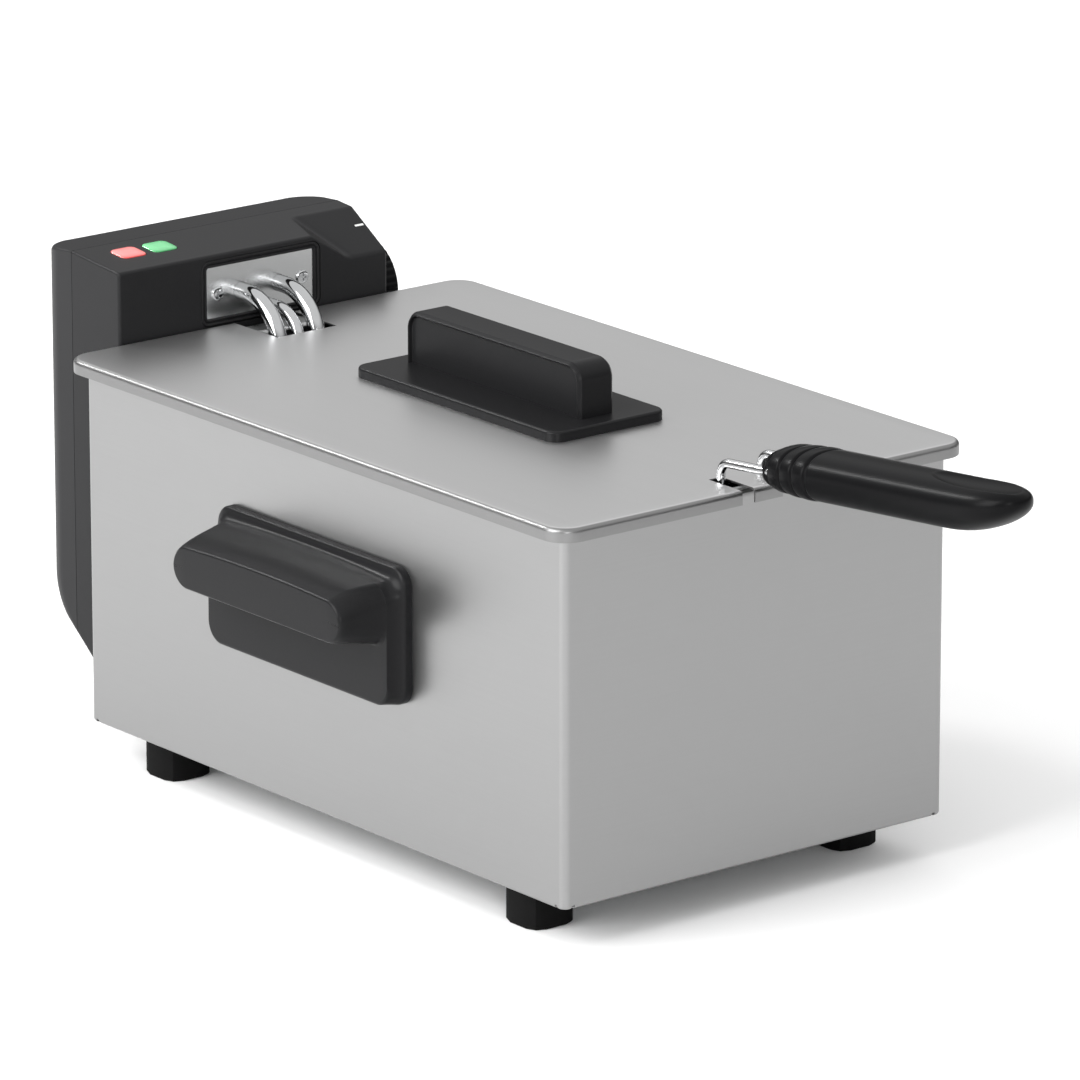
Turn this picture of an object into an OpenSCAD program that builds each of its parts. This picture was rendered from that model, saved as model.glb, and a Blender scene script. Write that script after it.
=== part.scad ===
// Countertop deep fryer with a cold zone: steel housing, lift-out oil pan, wire basket with a plug-in
// handle, sheet lid, and a control head that hangs on the rear wall and carries the heating element.
// +X is the knob side, -Y is the front (basket grip), +Z is up, z = 0 is the worktop.

/* [Housing] */
// Width of the sheet-steel housing
body_w = 200; // [180:1:220]
// Length of the housing, front wall to rear wall
body_l = 323; // [310:1:340]
// Height of the housing's underside above the worktop
foot_h = 18.5; // [16:0.5:24]
// Height of the lid's top face above the worktop
lid_top = 179; // [176:0.5:186]
// Thickness of the sheet steel
sheet = 1; // [0.8:0.1:1.2]
// Outer radius of the housing's upright corners
body_r = 3.5; // [2:0.5:6]

/* [Lid] */
// Overhang of the lid past the long sides
lid_over_x = 6.8; // [5:0.1:8]
// Overhang of the lid past the front and rear
lid_over_y = 6.5; // [6:0.1:8]
// Height of the turned-down rim
lid_skirt = 6; // [5:0.5:8]
// Corner radius of the lid
lid_r = 11; // [8:0.5:14]
// Width of each slot for a basket-handle wire
slot_w = 6.5; // [6:0.1:8]
// Length of the lid grip
grip_l = 116; // [100:1:124]
// Height of the lid grip above its base
grip_h = 23; // [18:0.5:28]

/* [Oil pan and basket] */
// Outer width of the oil pan
pan_w = 184; // [176:1:188]
// Height of the pan's underside above the worktop
pan_z = 24; // [22:0.5:28]
// Outer width of the basket
basket_w = 152; // [140:1:156]
// Height of the basket's underside above the worktop
basket_z = 51.5; // [51.5:0.5:56]
// Diameter of the handle wire
wire_d = 4; // [3.5:0.1:4.2]
// Half the distance between the two handle wires
wire_x = 10.5; // [10:0.5:11.5]
// Upward slope of the basket handle in degrees
handle_slope = 5; // [3:0.5:8]
// Length of the basket grip
handle_l = 149; // [130:1:160]

/* [Side handles] */
// Length of a side handle's mounting plate
side_l = 127; // [110:1:135]
// Reach of a side handle from the housing wall
side_reach = 32; // [28:1:36]

/* [Control head] */
// Depth of the control head
head_d = 59.5; // [57:0.5:66]
// Radius of the head's upright rear corners
head_r = 15; // [12:0.5:18]
// Wall thickness of the head's mouldings
head_wall = 2.5; // [2:0.1:3]
// Radius of the thermostat knob
knob_r = 21; // [17:0.5:22]
// Diameter of the heating tube
tube_d = 7.5; // [6.5:0.1:8]

/* [Hidden] */
$fn = 64;

steel = "#b9b9b6";
bright_steel = "#d9dadb";
black = "#2b2b2c";

front_y = -body_l / 2;
rear_y = body_l / 2;
lid_z = lid_top - sheet;              // lid underside
rim_t = 1.2;                          // pan rim thickness
shell_top = lid_z - rim_t;            // housing top
gap = 0.05;                           // clearance of a screw or tube in its hole

pan_front = front_y + 3.5;
pan_rear = rear_y - 9.5;
pan_mid = (pan_front + pan_rear) / 2;
pan_l = pan_rear - pan_front;
pan_r = 24;

basket_front = pan_front + 15;
basket_rear = rear_y - 37.5;
basket_mid = (basket_front + basket_rear) / 2;
basket_l = basket_rear - basket_front;
basket_top = lid_top - 21;
basket_t = 1.2;
rim_wire_r = 2;
leg_y = basket_front - 7.3;           // axis of the handle's upright legs

face_y = rear_y + lid_over_y + 0.5;   // head's front face, just clear of the lid
back_y = face_y + head_d;
split_y = face_y + 34.5;              // joint between the head's two mouldings
head_left = -77;
head_right = 66;
head_mid = (head_left + head_right) / 2;
head_front_z = lid_top + 30.9;        // top of the head at its front face
panel_slope = 5;                      // tilt of the lamp panel
head_bottom = 27;

plate_mid = -2.2;                     // middle of the element plate
plate_w = 56.6;
plate_low = lid_top + 2.6;
plate_high = lid_top + 25.7;
tube_x = 10.2;                        // each heating leg from the plate's middle
tube_r = tube_d / 2;
tube_z = lid_top + 13;                // heating legs where they leave the plate
drop_y = rear_y - 20.5;               // axis of the heating legs inside the pan
element_z = 42;                       // axis of the heating loop
knob_y = face_y + 23.5;
knob_z = lid_top - 2.4;
lamp_y = face_y + 20.5;
lamp_z = head_front_z + (lamp_y - face_y) * tan(panel_slope);
button_x = 30;
button_z = 92;
gland_x = -45;
gland_z = 88;
gland_out = 4;                        // the gland's reach behind the head
plunger_z = 162;

bend_r = 6;                           // bend of the handle wires over the lid's edge
bend_z = lid_top + 2.1;
bend_swell = 0.02;                    // the wire is a hair thicker round its bend
bend_lap = 0.3;                       // the straight lengths run this far into the bend
run_y = leg_y - bend_r + bend_r * sin(handle_slope);
run_z = bend_z + bend_r * cos(handle_slope);
grip_gap = 17;                        // bare wire ahead of the grip
wire_in = 30;                         // wire inside the grip
grip_r = 10.2;
tip_y = run_y - (grip_gap + handle_l - grip_r) * cos(handle_slope) - grip_r;
shift_y = -(back_y + gland_out + tip_y) / 2;  // puts the origin under the middle of the whole object

// ---------- shared shapes ----------

module rounded_square(w, l, r) {
    square([w - 2 * r, l], center = true);
    square([w, l - 2 * r], center = true);
    for (x = [-1, 1], y = [-1, 1])
        translate([x * (w / 2 - r), y * (l / 2 - r)])
            circle(r);
}

module slab(w, l, r, z0, z1, y = 0) {
    translate([0, y, z0])
        linear_extrude(z1 - z0)
            rounded_square(w, l, r);
}

module box(low, high) {
    translate(low)
        cube(high - low);
}

// A cylinder along Y from y0 to y1
module rod_y(x, z, r, y0, y1) {
    translate([x, y0, z])
        rotate([-90, 0, 0])
            cylinder(r = r, h = y1 - y0);
}

// A cylinder along X from x0 to x1
module rod_x(y, z, r, x0, x1) {
    translate([x0, y, z])
        rotate([0, 90, 0])
            cylinder(r = r, h = x1 - x0);
}

module rod_z(x, y, r, z0, z1) {
    translate([x, y, z0])
        cylinder(r = r, h = z1 - z0);
}

// A bend of a round bar in the horizontal plane, about (x, y)
module flat_bend(x, y, z, bend, r, from, turn) {
    translate([x, y, z])
        rotate([0, 0, from])
            rotate_extrude(angle = turn)
                translate([bend, 0])
                    circle(r);
}

// A bend of a round bar in an upright plane along Y, about (y, z); 0 degrees points to +Y
module upright_bend(x, y, z, bend, r, from, turn) {
    translate([x, y, z])
        rotate([90, 0, 90])
            flat_bend(0, 0, 0, bend, r, from, turn);
}

module screw_z(x, y, z0, z1, r, head_r, head_h) {
    rod_z(x, y, head_r, z0, z0 + head_h);
    rod_z(x, y, r, z0 + head_h - 0.5, z1);
}

// ---------- housing ----------

foot_x = body_w / 2 - 19.5;
foot_front = front_y + 40;
foot_rear = rear_y - 36;
foot_spots = [for (x = [-foot_x, foot_x], y = [foot_front, foot_rear]) [x, y]];
side_screw_y = 42;
side_screw_z = 93;
side_screws = [for (s = [-1, 1], y = [-side_screw_y, side_screw_y]) [s, y]];
foot_hole_r = 2.1;
rivet_spots = [for (s = [-1, 1], z = [104, 152]) [head_mid + s * 35, z]];
rivet_r = 1.6;

module housing_shell() {
    flange = 12;
    relief = 4.5;
    color(steel)
    difference() {
        slab(body_w, body_l, body_r, foot_h, shell_top);
        slab(body_w - 2 * sheet, body_l - 2 * sheet, body_r - sheet, foot_h + sheet, shell_top - sheet);
        slab(body_w - 2 * flange, body_l - 2 * flange, 6, foot_h - 1, foot_h + 2);
        translate([0, pan_mid, shell_top - 2])
            linear_extrude(3)
                rounded_square(pan_w + 1.2, pan_l + 1.2, pan_r + 0.6);
        for (x = [-1, 1], y = [-1, 1]) {
            translate([x * (body_w / 2 - relief), y * rear_y, foot_h])
                cube([2, 4, 2.6], center = true);
            translate([x * body_w / 2, y * (rear_y - relief), foot_h])
                cube([4, 2, 2.6], center = true);
        }
        for (p = foot_spots)
            rod_z(p[0], p[1], foot_hole_r, foot_h - 1, foot_h + 2);
        for (p = side_screws)
            rod_x(p[1], side_screw_z, 2 + gap, p[0] * (body_w / 2) - 2, p[0] * (body_w / 2) + 2);
        for (p = rivet_spots)
            rod_y(p[0], p[1], rivet_r + gap, rear_y - 2, rear_y + 1);
    }
}

module base_plate() {
    color("#8f9190")
    difference() {
        slab(body_w - 2 * sheet - 0.6, body_l - 2 * sheet - 0.6, 2.4, foot_h + sheet, foot_h + 2 * sheet);
        for (p = foot_spots)
            rod_z(p[0], p[1], foot_hole_r, foot_h, foot_h + 3);
        for (i = [-3 : 3], s = [-1, 1])
            slab(24, 5, 2.4, foot_h, foot_h + 3, i * 14 + s * 62);
    }
}

module feet() {
    w = 23;
    c = 6.5;
    h = w / 2;
    color(black)
    for (p = foot_spots)
        translate([p[0], p[1], 0])
        difference() {
            linear_extrude(foot_h)
                polygon([[h, h - c], [h - c, h], [c - h, h], [-h, h - c],
                         [-h, c - h], [c - h, -h], [h - c, -h], [h, c - h]]);
            translate([0, 0, -1])
                cylinder(r = 5, h = 9);
            cylinder(r = foot_hole_r, h = foot_h + 1);
        }
}

module foot_screws() {
    color(bright_steel)
    for (p = foot_spots)
        screw_z(p[0], p[1], 5.4, foot_h + 2 * sheet + 3, 2, 3.8, 2.6);
}

// Section of the side handle: x is the reach from the wall, y is the height
module side_section(top, low, wing_low) {
    polygon([[0, low], [11, low], [11, wing_low - 2.5], [side_reach, wing_low],
             [side_reach, top - 10.5], [side_reach - 5, top - 8.4], [side_reach - 11, top - 7],
             [side_reach - 20, top - 5.8], [4, top - 5.6], [4, top], [0, top]]);
}

module side_handle(s) {
    top = 138;
    low = 79.5;
    color(black)
    mirror([s < 0 ? 1 : 0, 0, 0])
    translate([body_w / 2, 0, 0])
    difference() {
        intersection() {
            translate([0, side_l / 2, 0])
                rotate([90, 0, 0])
                    linear_extrude(side_l)
                        side_section(top, low, 109);
            union() {
                translate([0, 0, (top + low) / 2])
                    rotate([90, 0, 90])
                        linear_extrude(11)
                            rounded_square(side_l, top - low, 8);
                translate([10, 0, 119.5])
                    rotate([90, 0, 90])
                        linear_extrude(side_reach)
                            rounded_square(side_l - 12, 27, 9);
            }
        }
        for (y = [-side_screw_y, side_screw_y])
            rod_x(y, side_screw_z, 2 + gap, -1, 8);
    }
}

module side_handle_left() {
    side_handle(-1);
}

module side_handle_right() {
    side_handle(1);
}

module handle_screws() {
    inner = body_w / 2 - sheet;
    color(bright_steel)
    for (p = side_screws)
        mirror([p[0] < 0 ? 1 : 0, 0, 0]) {
            rod_x(p[1], side_screw_z, 2, inner - 1, inner + 8);
            rod_x(p[1], side_screw_z, 3.8, inner - 2.4, inner);
        }
}

// Hat-shaped bracket: two riveted flanges, a raised web and a ledge that the head stands on
module head_bracket() {
    t = 1.5;
    web = 23;
    deep = face_y - rear_y - 0.5;
    color(steel)
    difference() {
        union() {
            translate([head_mid, rear_y, 92])
                linear_extrude(73)
                    polygon([[-42, 0], [-web + t, 0], [-web + t, deep - t], [web - t, deep - t],
                             [web - t, 0], [42, 0], [42, t], [web, t], [web, deep], [-web, deep],
                             [-web, t], [-42, t]]);
            box([head_mid - 34, rear_y, 90.5], [head_mid + 34, rear_y + deep, 92]);
        }
        for (p = rivet_spots)
            rod_y(p[0], p[1], rivet_r + gap, rear_y - 1, rear_y + 3);
    }
}

module bracket_rivets() {
    color(bright_steel)
    for (p = rivet_spots) {
        rod_y(p[0], p[1], rivet_r, rear_y - sheet - 0.5, rear_y + 2);
        rod_y(p[0], p[1], 3, rear_y + 1.5, rear_y + 2.7);
        rod_y(p[0], p[1], 3, rear_y - sheet - 1.2, rear_y - sheet);
    }
}

// ---------- oil pan ----------

module oil_pan() {
    color("#c4c6c6")
    difference() {
        union() {
            slab(pan_w, pan_l, pan_r, pan_z, lid_z, pan_mid);
            slab(body_w - 0.6, body_l - 0.6, body_r, shell_top, lid_z);
        }
        slab(pan_w - 2 * sheet, pan_l - 2 * sheet, pan_r - sheet, pan_z + sheet, lid_z + 1, pan_mid);
    }
}

// ---------- control head ----------

arc_y = back_y - 24;
arc_z = 67;

// Side view of the head, inset all round by i: sloped lamp panel, rounded rear top, slanted underside
module head_side(i) {
    up = head_front_z + (split_y - face_y) * tan(panel_slope);
    polygon(concat(
        [[face_y + i, head_bottom + i], [face_y + i, head_front_z - i], [split_y, up - i],
         [back_y - 5, up - 1.6 - i], [back_y - 1.5 - i, up - 2.6 - i], [back_y - i, up - 5 - i]],
        [for (a = [0 : -9.5 : -57]) [arc_y + (24 - i) * cos(a), arc_z + (24 - i) * sin(a)]],
        [[face_y + 18 - i / 2, head_bottom + i]]));
}

// Plan of the head, inset by i: square at the front, rounded at the rear
module head_plan(i) {
    w = head_right - head_left - 2 * i;
    translate([head_left + i, face_y + i])
        square([w, head_d - head_r - i]);
    translate([head_left + head_r, face_y + i])
        square([w + 2 * i - 2 * head_r, head_d - 2 * i]);
    for (x = [head_left + head_r, head_right - head_r])
        translate([x, back_y - head_r])
            circle(head_r - i);
}

module head_block(i) {
    intersection() {
        translate([head_left - 1, 0, 0])
            rotate([90, 0, 90])
                linear_extrude(head_right - head_left + 2)
                    head_side(i);
        linear_extrude(head_front_z + 20)
            head_plan(i);
    }
}

// The wedge taken out of the front right of the top, above the knob: a floor rising to the rear,
// and an end wall leaning to the left
module scoop_cut(i) {
    floor_z = head_front_z - 13.2;
    intersection() {
        translate([head_left, face_y, floor_z - i])
            rotate([32.5, 0, 0])
                cube([head_right - head_left + 5, 60, 40]);
        translate([25 - i, face_y, head_front_z])
            rotate([0, 0, -17])
                rotate([0, 34, 0])
                    translate([0, -30, 0])
                        cube([80, 90, 60]);
        box([head_left, face_y - 5, floor_z - 5], [head_right + 5, face_y + 23.5 + i, head_front_z + 20]);
    }
}

boss_spots = [for (x = [head_left + 9, head_right - 9], z = [80, 150]) [x, z]];
boss_r = 4.2;
screw_r = 1.6;
screw_sink = 6;                       // depth of the screws' seats in the rear cover

module lens_hole(x, grow, z0, z1) {
    translate([x, lamp_y, 0])
        slab(13 + 2 * grow, 12 + 2 * grow, 3, z0, z1);
}

lamp_xs = [-57.1, -40.7];

module head_shape() {
    difference() {
        head_block(0);
        scoop_cut(0);
    }
}

module head_cavity() {
    difference() {
        head_block(head_wall);
        scoop_cut(head_wall);
    }
}

module head_front_shell() {
    rib_x = 23.6;
    color(black)
    difference() {
        union() {
            difference() {
                intersection() {
                    head_shape();
                    box([head_left - 5, face_y - 5, 0], [head_right + 5, split_y, 300]);
                }
                head_cavity();
            }
            for (s = [-1, 1])
                box([head_mid + s * (rib_x + 1.2) - 1.2, face_y - 5, 92.2],
                    [head_mid + s * (rib_x + 1.2) + 1.2, face_y + 1, 160]);
            for (p = boss_spots)
                rod_y(p[0], p[1], boss_r, face_y + 1, split_y);
        }
        box([plate_mid - plate_w / 2 - 3.6, face_y - 1, plate_low - 3.2],
            [plate_mid + plate_w / 2 + 3.6, face_y + 4, plate_high + 3.1]);
        for (x = lamp_xs)
            lens_hole(x, 0.1, lamp_z - 9, lamp_z + 9);
        rod_x(knob_y, knob_z, 4.5, head_right - 6, head_right + 1);
        rod_y(head_mid, plunger_z, 2 + gap, face_y - 1, face_y + 4);
        for (p = boss_spots)
            rod_y(p[0], p[1], screw_r + gap, split_y - 14, split_y + 1);
    }
}

module head_rear_cover() {
    color("#333334")
    difference() {
        union() {
            difference() {
                intersection() {
                    head_shape();
                    box([head_left - 5, split_y, 0], [head_right + 5, back_y + 5, 300]);
                }
                head_cavity();
            }
            for (p = boss_spots)
                intersection() {
                    rod_y(p[0], p[1], boss_r, split_y, back_y);
                    head_block(1);
                }
        }
        for (p = boss_spots) {
            rod_y(p[0], p[1], screw_r + gap, split_y - 1, back_y + 1);
            rod_y(p[0], p[1], 3.2, back_y - screw_sink, back_y + 1);
        }
        rod_y(gland_x, gland_z, 6.05, back_y - 5, back_y + 1);
        rod_y(button_x, button_z, 4.1, back_y - 5, back_y + 1);
    }
}

module cover_screws() {
    color(bright_steel)
    for (p = boss_spots) {
        rod_y(p[0], p[1], screw_r, split_y - 12, back_y - 5.5);
        rod_y(p[0], p[1], 3.1, back_y - screw_sink, back_y - screw_sink + 2.2);
    }
}

module element_bezel() {
    color(black)
    difference() {
        box([plate_mid - plate_w / 2 - 3.5, face_y, plate_low - 3.1],
            [plate_mid + plate_w / 2 + 3.5, face_y + 2.5, plate_high + 3]);
        box([plate_mid - plate_w / 2 - 0.1, face_y - 1, plate_low - 0.1],
            [plate_mid + plate_w / 2 + 0.1, face_y + 4, plate_high + 0.1]);
    }
}

plate_screw_x = 22.6;
plate_screw_z = lid_top + 13.5;
guide_r = 2.9;
guide_z = lid_top + 6.6;

module element_plate() {
    color(bright_steel)
    difference() {
        box([plate_mid - plate_w / 2, face_y + 1, plate_low],
            [plate_mid + plate_w / 2, face_y + 2.5, plate_high]);
        for (s = [-1, 1]) {
            rod_y(plate_mid + s * tube_x, tube_z, tube_r + gap, face_y - 1, face_y + 4);
            rod_y(plate_mid + s * plate_screw_x, plate_screw_z, 1.5 + gap, face_y - 1, face_y + 4);
        }
        rod_y(plate_mid, guide_z, guide_r + gap, face_y - 1, face_y + 4);
    }
}

module plate_screws() {
    color(bright_steel)
    for (s = [-1, 1]) {
        rod_y(plate_mid + s * plate_screw_x, plate_screw_z, 1.5, face_y + 0.5, face_y + 10);
        rod_y(plate_mid + s * plate_screw_x, plate_screw_z, 2.9, face_y + 0.1, face_y + 1);
    }
}

drop_bend = 24;
loop_bend = 12;
inner_x = 17;
outer_x = 51;
loop_front = -72;
loop_back = 92;
middle_y = 54;                        // where the two inner legs meet in a bend

// One half of the heating loop, on the side of s, from the head down and round to the middle bend
module element_half(s) {
    x = plate_mid + s * tube_x;
    side = plate_mid + s * outer_x;
    turn = side - s * loop_bend;
    rod_y(x, tube_z, tube_r, drop_y + drop_bend, face_y + 12);
    upright_bend(x, drop_y + drop_bend, tube_z - drop_bend, drop_bend, tube_r, 90, 90);
    rod_z(x, drop_y, tube_r, element_z + loop_bend, tube_z - drop_bend);
    upright_bend(x, drop_y - loop_bend, element_z + loop_bend, loop_bend, tube_r, -90, 90);
    rod_y(x, element_z, tube_r, loop_back + loop_bend, drop_y - loop_bend);
    flat_bend(x + s * loop_bend, loop_back + loop_bend, element_z, loop_bend, tube_r,
        s > 0 ? 180 : 270, 90);
    rod_x(loop_back, element_z, tube_r, min(x + s * loop_bend, turn), max(x + s * loop_bend, turn));
    flat_bend(turn, loop_back - loop_bend, element_z, loop_bend, tube_r, s > 0 ? 0 : 90, 90);
    rod_y(side, element_z, tube_r, loop_front, loop_back - loop_bend);
    flat_bend(plate_mid + s * (outer_x + inner_x) / 2, loop_front, element_z,
        (outer_x - inner_x) / 2, tube_r, 180, 180);
    rod_y(plate_mid + s * inner_x, element_z, tube_r, loop_front, middle_y);
}

module heating_element() {
    color("#8d8f92") {
        element_half(-1);
        element_half(1);
        flat_bend(plate_mid, middle_y, element_z, inner_x, tube_r, 0, 180);
    }
}

// Two clamped strips with feet on the pan floor, which hold the loop level
module element_support() {
    half = outer_x + tube_r + 3;
    grip = tube_r + 0.1;
    color(bright_steel)
    for (y = [-50, 40]) {
        box([plate_mid - half, y - 6, element_z + grip], [plate_mid + half, y + 6, element_z + grip + 1.2]);
        box([plate_mid - half, y - 6, element_z - grip - 1.2], [plate_mid + half, y + 6, element_z - grip]);
        for (s = [-1, 1]) {
            box([plate_mid + s * (half - 0.6) - 0.6, y - 6, pan_z + sheet + 0.2],
                [plate_mid + s * (half - 0.6) + 0.6, y + 6, element_z + grip + 1.2]);
            rod_z(plate_mid + s * 34, y, 2, element_z - grip - 2, element_z + grip + 2);
        }
    }
}

guide_bend = 16;
guide_low = 74;

// Guide tube that carries the sensor's capillary over the rim and down to the bulb
module capillary_tube() {
    color(bright_steel) {
        rod_y(plate_mid, guide_z, guide_r, drop_y + guide_bend, face_y + 10);
        upright_bend(plate_mid, drop_y + guide_bend, guide_z - guide_bend, guide_bend, guide_r, 90, 90);
        rod_z(plate_mid, drop_y, guide_r, guide_low, guide_z - guide_bend);
    }
}

module sensor_bulb() {
    r = 3;
    bend = 14;
    color("#b98a5a") {
        rod_z(plate_mid, drop_y, r, element_z + bend, guide_low);
        upright_bend(plate_mid, drop_y - bend, element_z + bend, bend, r, -90, 90);
        rod_y(plate_mid, element_z, r, 76, drop_y - bend);
    }
}

module thermostat_body() {
    color("#c9c3b4")
    difference() {
        union() {
            box([32, knob_y - 15, knob_z - 14], [52, knob_y + 17, knob_z + 14]);
            rod_x(knob_y, knob_z, 8, 51, head_right - head_wall);
        }
        rod_x(knob_y, knob_z, 3 + gap, 40, head_right + 5);
    }
}

module cutout_switch() {
    color("#c9c3b4") {
        box([button_x - 12, back_y - 27, button_z - 12], [button_x + 12, back_y - 14, button_z + 12]);
        rod_y(button_x, button_z, 7, back_y - 15, back_y - 11.2);
    }
}

module interlock_switch() {
    color("#6d6f70")
        box([head_mid - 10, face_y + 10, plunger_z - 5], [head_mid + 10, face_y + 22, plunger_z + 12]);
}

module interlock_plunger() {
    color("#e8e4da") {
        rod_y(head_mid, plunger_z, 2, face_y - 0.2, face_y + 6.5);
        rod_y(head_mid, plunger_z, 3.4, face_y + 6, face_y + 7.2);
    }
}

module terminal_block() {
    color("#ded9cc")
        box([-64, face_y + 14, 118], [-34, face_y + 28, 132]);
}

module lens(x, tint) {
    color(tint)
    translate([x, 0, 0])
    intersection() {
        translate([0, lamp_y, lamp_z - 3.6])
            rotate([panel_slope, 0, 0])
                slab(12.9, 12, 3, 0, 4.3);
        lens_hole(0, -0.05, lamp_z - 8, lamp_z + 8);
    }
}

module red_lamp_lens() {
    lens(lamp_xs[0], "#ff8f8f");
}

module green_lamp_lens() {
    lens(lamp_xs[1], "#7fd08f");
}

module lamp_holders() {
    color("#e4e0d6")
    for (x = lamp_xs)
        rod_z(x, lamp_y, 4.5, lamp_z - 24, lamp_z - 4.2);
}

module cord_gland() {
    color(black)
    difference() {
        union() {
            rod_y(gland_x, gland_z, 6, back_y - 6, back_y + 1);
            rod_y(gland_x, gland_z, 8.5, back_y, back_y + gland_out);
            rod_y(gland_x, gland_z, 8, back_y - 5.6, back_y - 2.6);
        }
        rod_y(gland_x, gland_z, 3.5, back_y - 8, back_y + gland_out + 1);
    }
}

module thermostat_knob() {
    color(black)
    difference() {
        union() {
            rod_x(knob_y, knob_z, knob_r, head_right + 0.4, head_right + 9);
            rod_x(knob_y, knob_z, knob_r - 2, head_right + 8, head_right + 11);
        }
        rod_x(knob_y, knob_z, 3 + gap, head_right - 1, head_right + 8.2);
    }
}

module thermostat_shaft() {
    color(bright_steel)
        rod_x(knob_y, knob_z, 3, 42, head_right + 8);
}

module reset_button() {
    color("#c02a22") {
        rod_y(button_x, button_z, 4, back_y - 6, back_y - 0.3);
        rod_y(button_x, button_z, 5.6, back_y - 5, back_y - head_wall - 0.2);
    }
}

// ---------- basket ----------

// Two straps under the basket and the rim wire round its top edge
module basket_frame() {
    w = basket_w / 2 - basket_t / 2;
    l = basket_l / 2 - basket_t / 2;
    r = 14;
    z = basket_top + rim_wire_r;
    strap_r = 1.5;
    out = basket_w / 2 + strap_r + gap;
    low = basket_z - strap_r - gap;
    color(bright_steel) {
        for (s = [-1, 1]) {
            rod_y(s * w, z, rim_wire_r, basket_mid - l + r, basket_mid + l - r);
            rod_x(basket_mid + s * l, z, rim_wire_r, -w + r, w - r);
        }
        flat_bend(w - r, basket_mid + l - r, z, r, rim_wire_r, 0, 90);
        flat_bend(r - w, basket_mid + l - r, z, r, rim_wire_r, 90, 90);
        flat_bend(r - w, basket_mid - l + r, z, r, rim_wire_r, 180, 90);
        flat_bend(w - r, basket_mid - l + r, z, r, rim_wire_r, 270, 90);
        for (y = [basket_mid - 70, basket_mid + 70]) {
            rod_x(y, low, strap_r, -out, out);
            for (s = [-1, 1]) {
                rod_z(s * out, y, strap_r, low, z);
                translate([s * out, y, low])
                    sphere(strap_r);
            }
        }
    }
}

module basket_mesh() {
    color("#a9abac")
    difference() {
        slab(basket_w, basket_l, 14, basket_z, basket_top, basket_mid);
        slab(basket_w - 2 * basket_t, basket_l - 2 * basket_t, 12.8, basket_z + basket_t,
            basket_top + 1, basket_mid);
    }
}

socket_low = basket_top - 42;
socket_high = basket_top - 8;

module handle_socket() {
    color(bright_steel)
    difference() {
        union() {
            box([-18, basket_front - 3.2, socket_low], [18, basket_front - 1.5, basket_top + 2]);
            for (s = [-1, 1])
                rod_z(s * wire_x, leg_y, 4.3, socket_low, socket_high);
        }
        for (s = [-1, 1])
            rod_z(s * wire_x, leg_y, wire_d / 2 + gap, socket_low - 1, socket_high + 1);
    }
}

// Places its children at the front end of the bend, with +X running along the handle to its tip
module along_handle(x) {
    translate([x, run_y, run_z])
        rotate([-handle_slope, 0, 0])
            rotate([0, 0, -90])
                children();
}

module handle_wires() {
    color(bright_steel)
    for (s = [-1, 1]) {
        rod_z(s * wire_x, leg_y, wire_d / 2, socket_low + 3, bend_z + bend_lap);
        translate([s * wire_x, leg_y - bend_r, bend_z])
            rotate([90, 0, 90]) {
                flat_bend(0, 0, 0, bend_r, wire_d / 2 + bend_swell, 0, 90 - handle_slope);
                rotate([0, 0, 90 - handle_slope])
                    translate([bend_r, -bend_lap, 0])
                        rotate([-90, 0, 0])
                            cylinder(r = wire_d / 2, h = bend_lap + grip_gap + wire_in);
            }
    }
}

module handle_grip() {
    color(black)
    difference() {
        along_handle(0)
            hull()
                for (y = [-3.8, 3.8], x = [grip_gap + grip_r, grip_gap + handle_l - grip_r])
                    translate([x, y, 0])
                        sphere(grip_r, $fn = 32);
        for (s = [-1, 1])
            along_handle(s * wire_x)
                rotate([0, 90, 0])
                    cylinder(r = wire_d / 2 + gap, h = grip_gap + wire_in + 0.5);
    }
}

// ---------- lid ----------

notch_left = -18;
notch_right = 13.6;
notch_y = rear_y - 25.5;
lid_screw_y = 36;
lid_screw_r = 1.65;
lid_hole_r = 1.8;

module lid_panel() {
    w = body_w + 2 * lid_over_x;
    l = body_l + 2 * lid_over_y;
    low = lid_top - lid_skirt;
    color(steel)
    difference() {
        slab(w, l, lid_r, low, lid_top);
        slab(w - 2 * sheet, l - 2 * sheet, lid_r - sheet, low - 1, lid_z);
        for (s = [-1, 1]) {
            translate([s * wire_x, 0, 0])
                box([-slot_w / 2, -l / 2 - 1, low - 1], [slot_w / 2, leg_y + 3.6, lid_top + 1]);
            rod_z(0, s * lid_screw_y, lid_hole_r, low, lid_top + 1);
        }
        box([notch_left, notch_y, low - 1], [notch_right, l / 2 + 1, lid_top + 1]);
    }
}

base_t = 4.5;

module lid_handle_base() {
    color(black)
    difference() {
        slab(60, 135, 6, lid_top, lid_top + base_t);
        for (s = [-1, 1])
            rod_z(0, s * lid_screw_y, lid_hole_r, lid_top - 1, lid_top + base_t + 1);
    }
}

module lid_handle_grip() {
    w = 18.4;
    r = 8;
    low = lid_top + base_t;
    high = low + grip_h;
    color(black)
    difference() {
        intersection() {
            box([-w / 2, -grip_l / 2, low], [w / 2, grip_l / 2, high]);
            translate([-w, 0, (low + high) / 2 - r])
                rotate([90, 0, 90])
                    linear_extrude(2 * w)
                        rounded_square(grip_l, grip_h + 2 * r, r);
        }
        for (s = [-1, 1]) {
            translate([s * w / 2, 0, (low + high) / 2 - 2])
                cube([3.6, grip_l - 9, grip_h], center = true);
            rod_z(0, s * lid_screw_y, lid_screw_r + gap, low - 1, low + 13);
        }
    }
}

module lid_screws() {
    color(bright_steel)
    for (s = [-1, 1])
        screw_z(0, s * lid_screw_y, lid_z - 2.2, lid_top + base_t + 12, lid_screw_r, 4, 2.2);
}

// ---------- assembly ----------

module placed() {
    translate([0, shift_y, 0])
        children();
}

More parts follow.
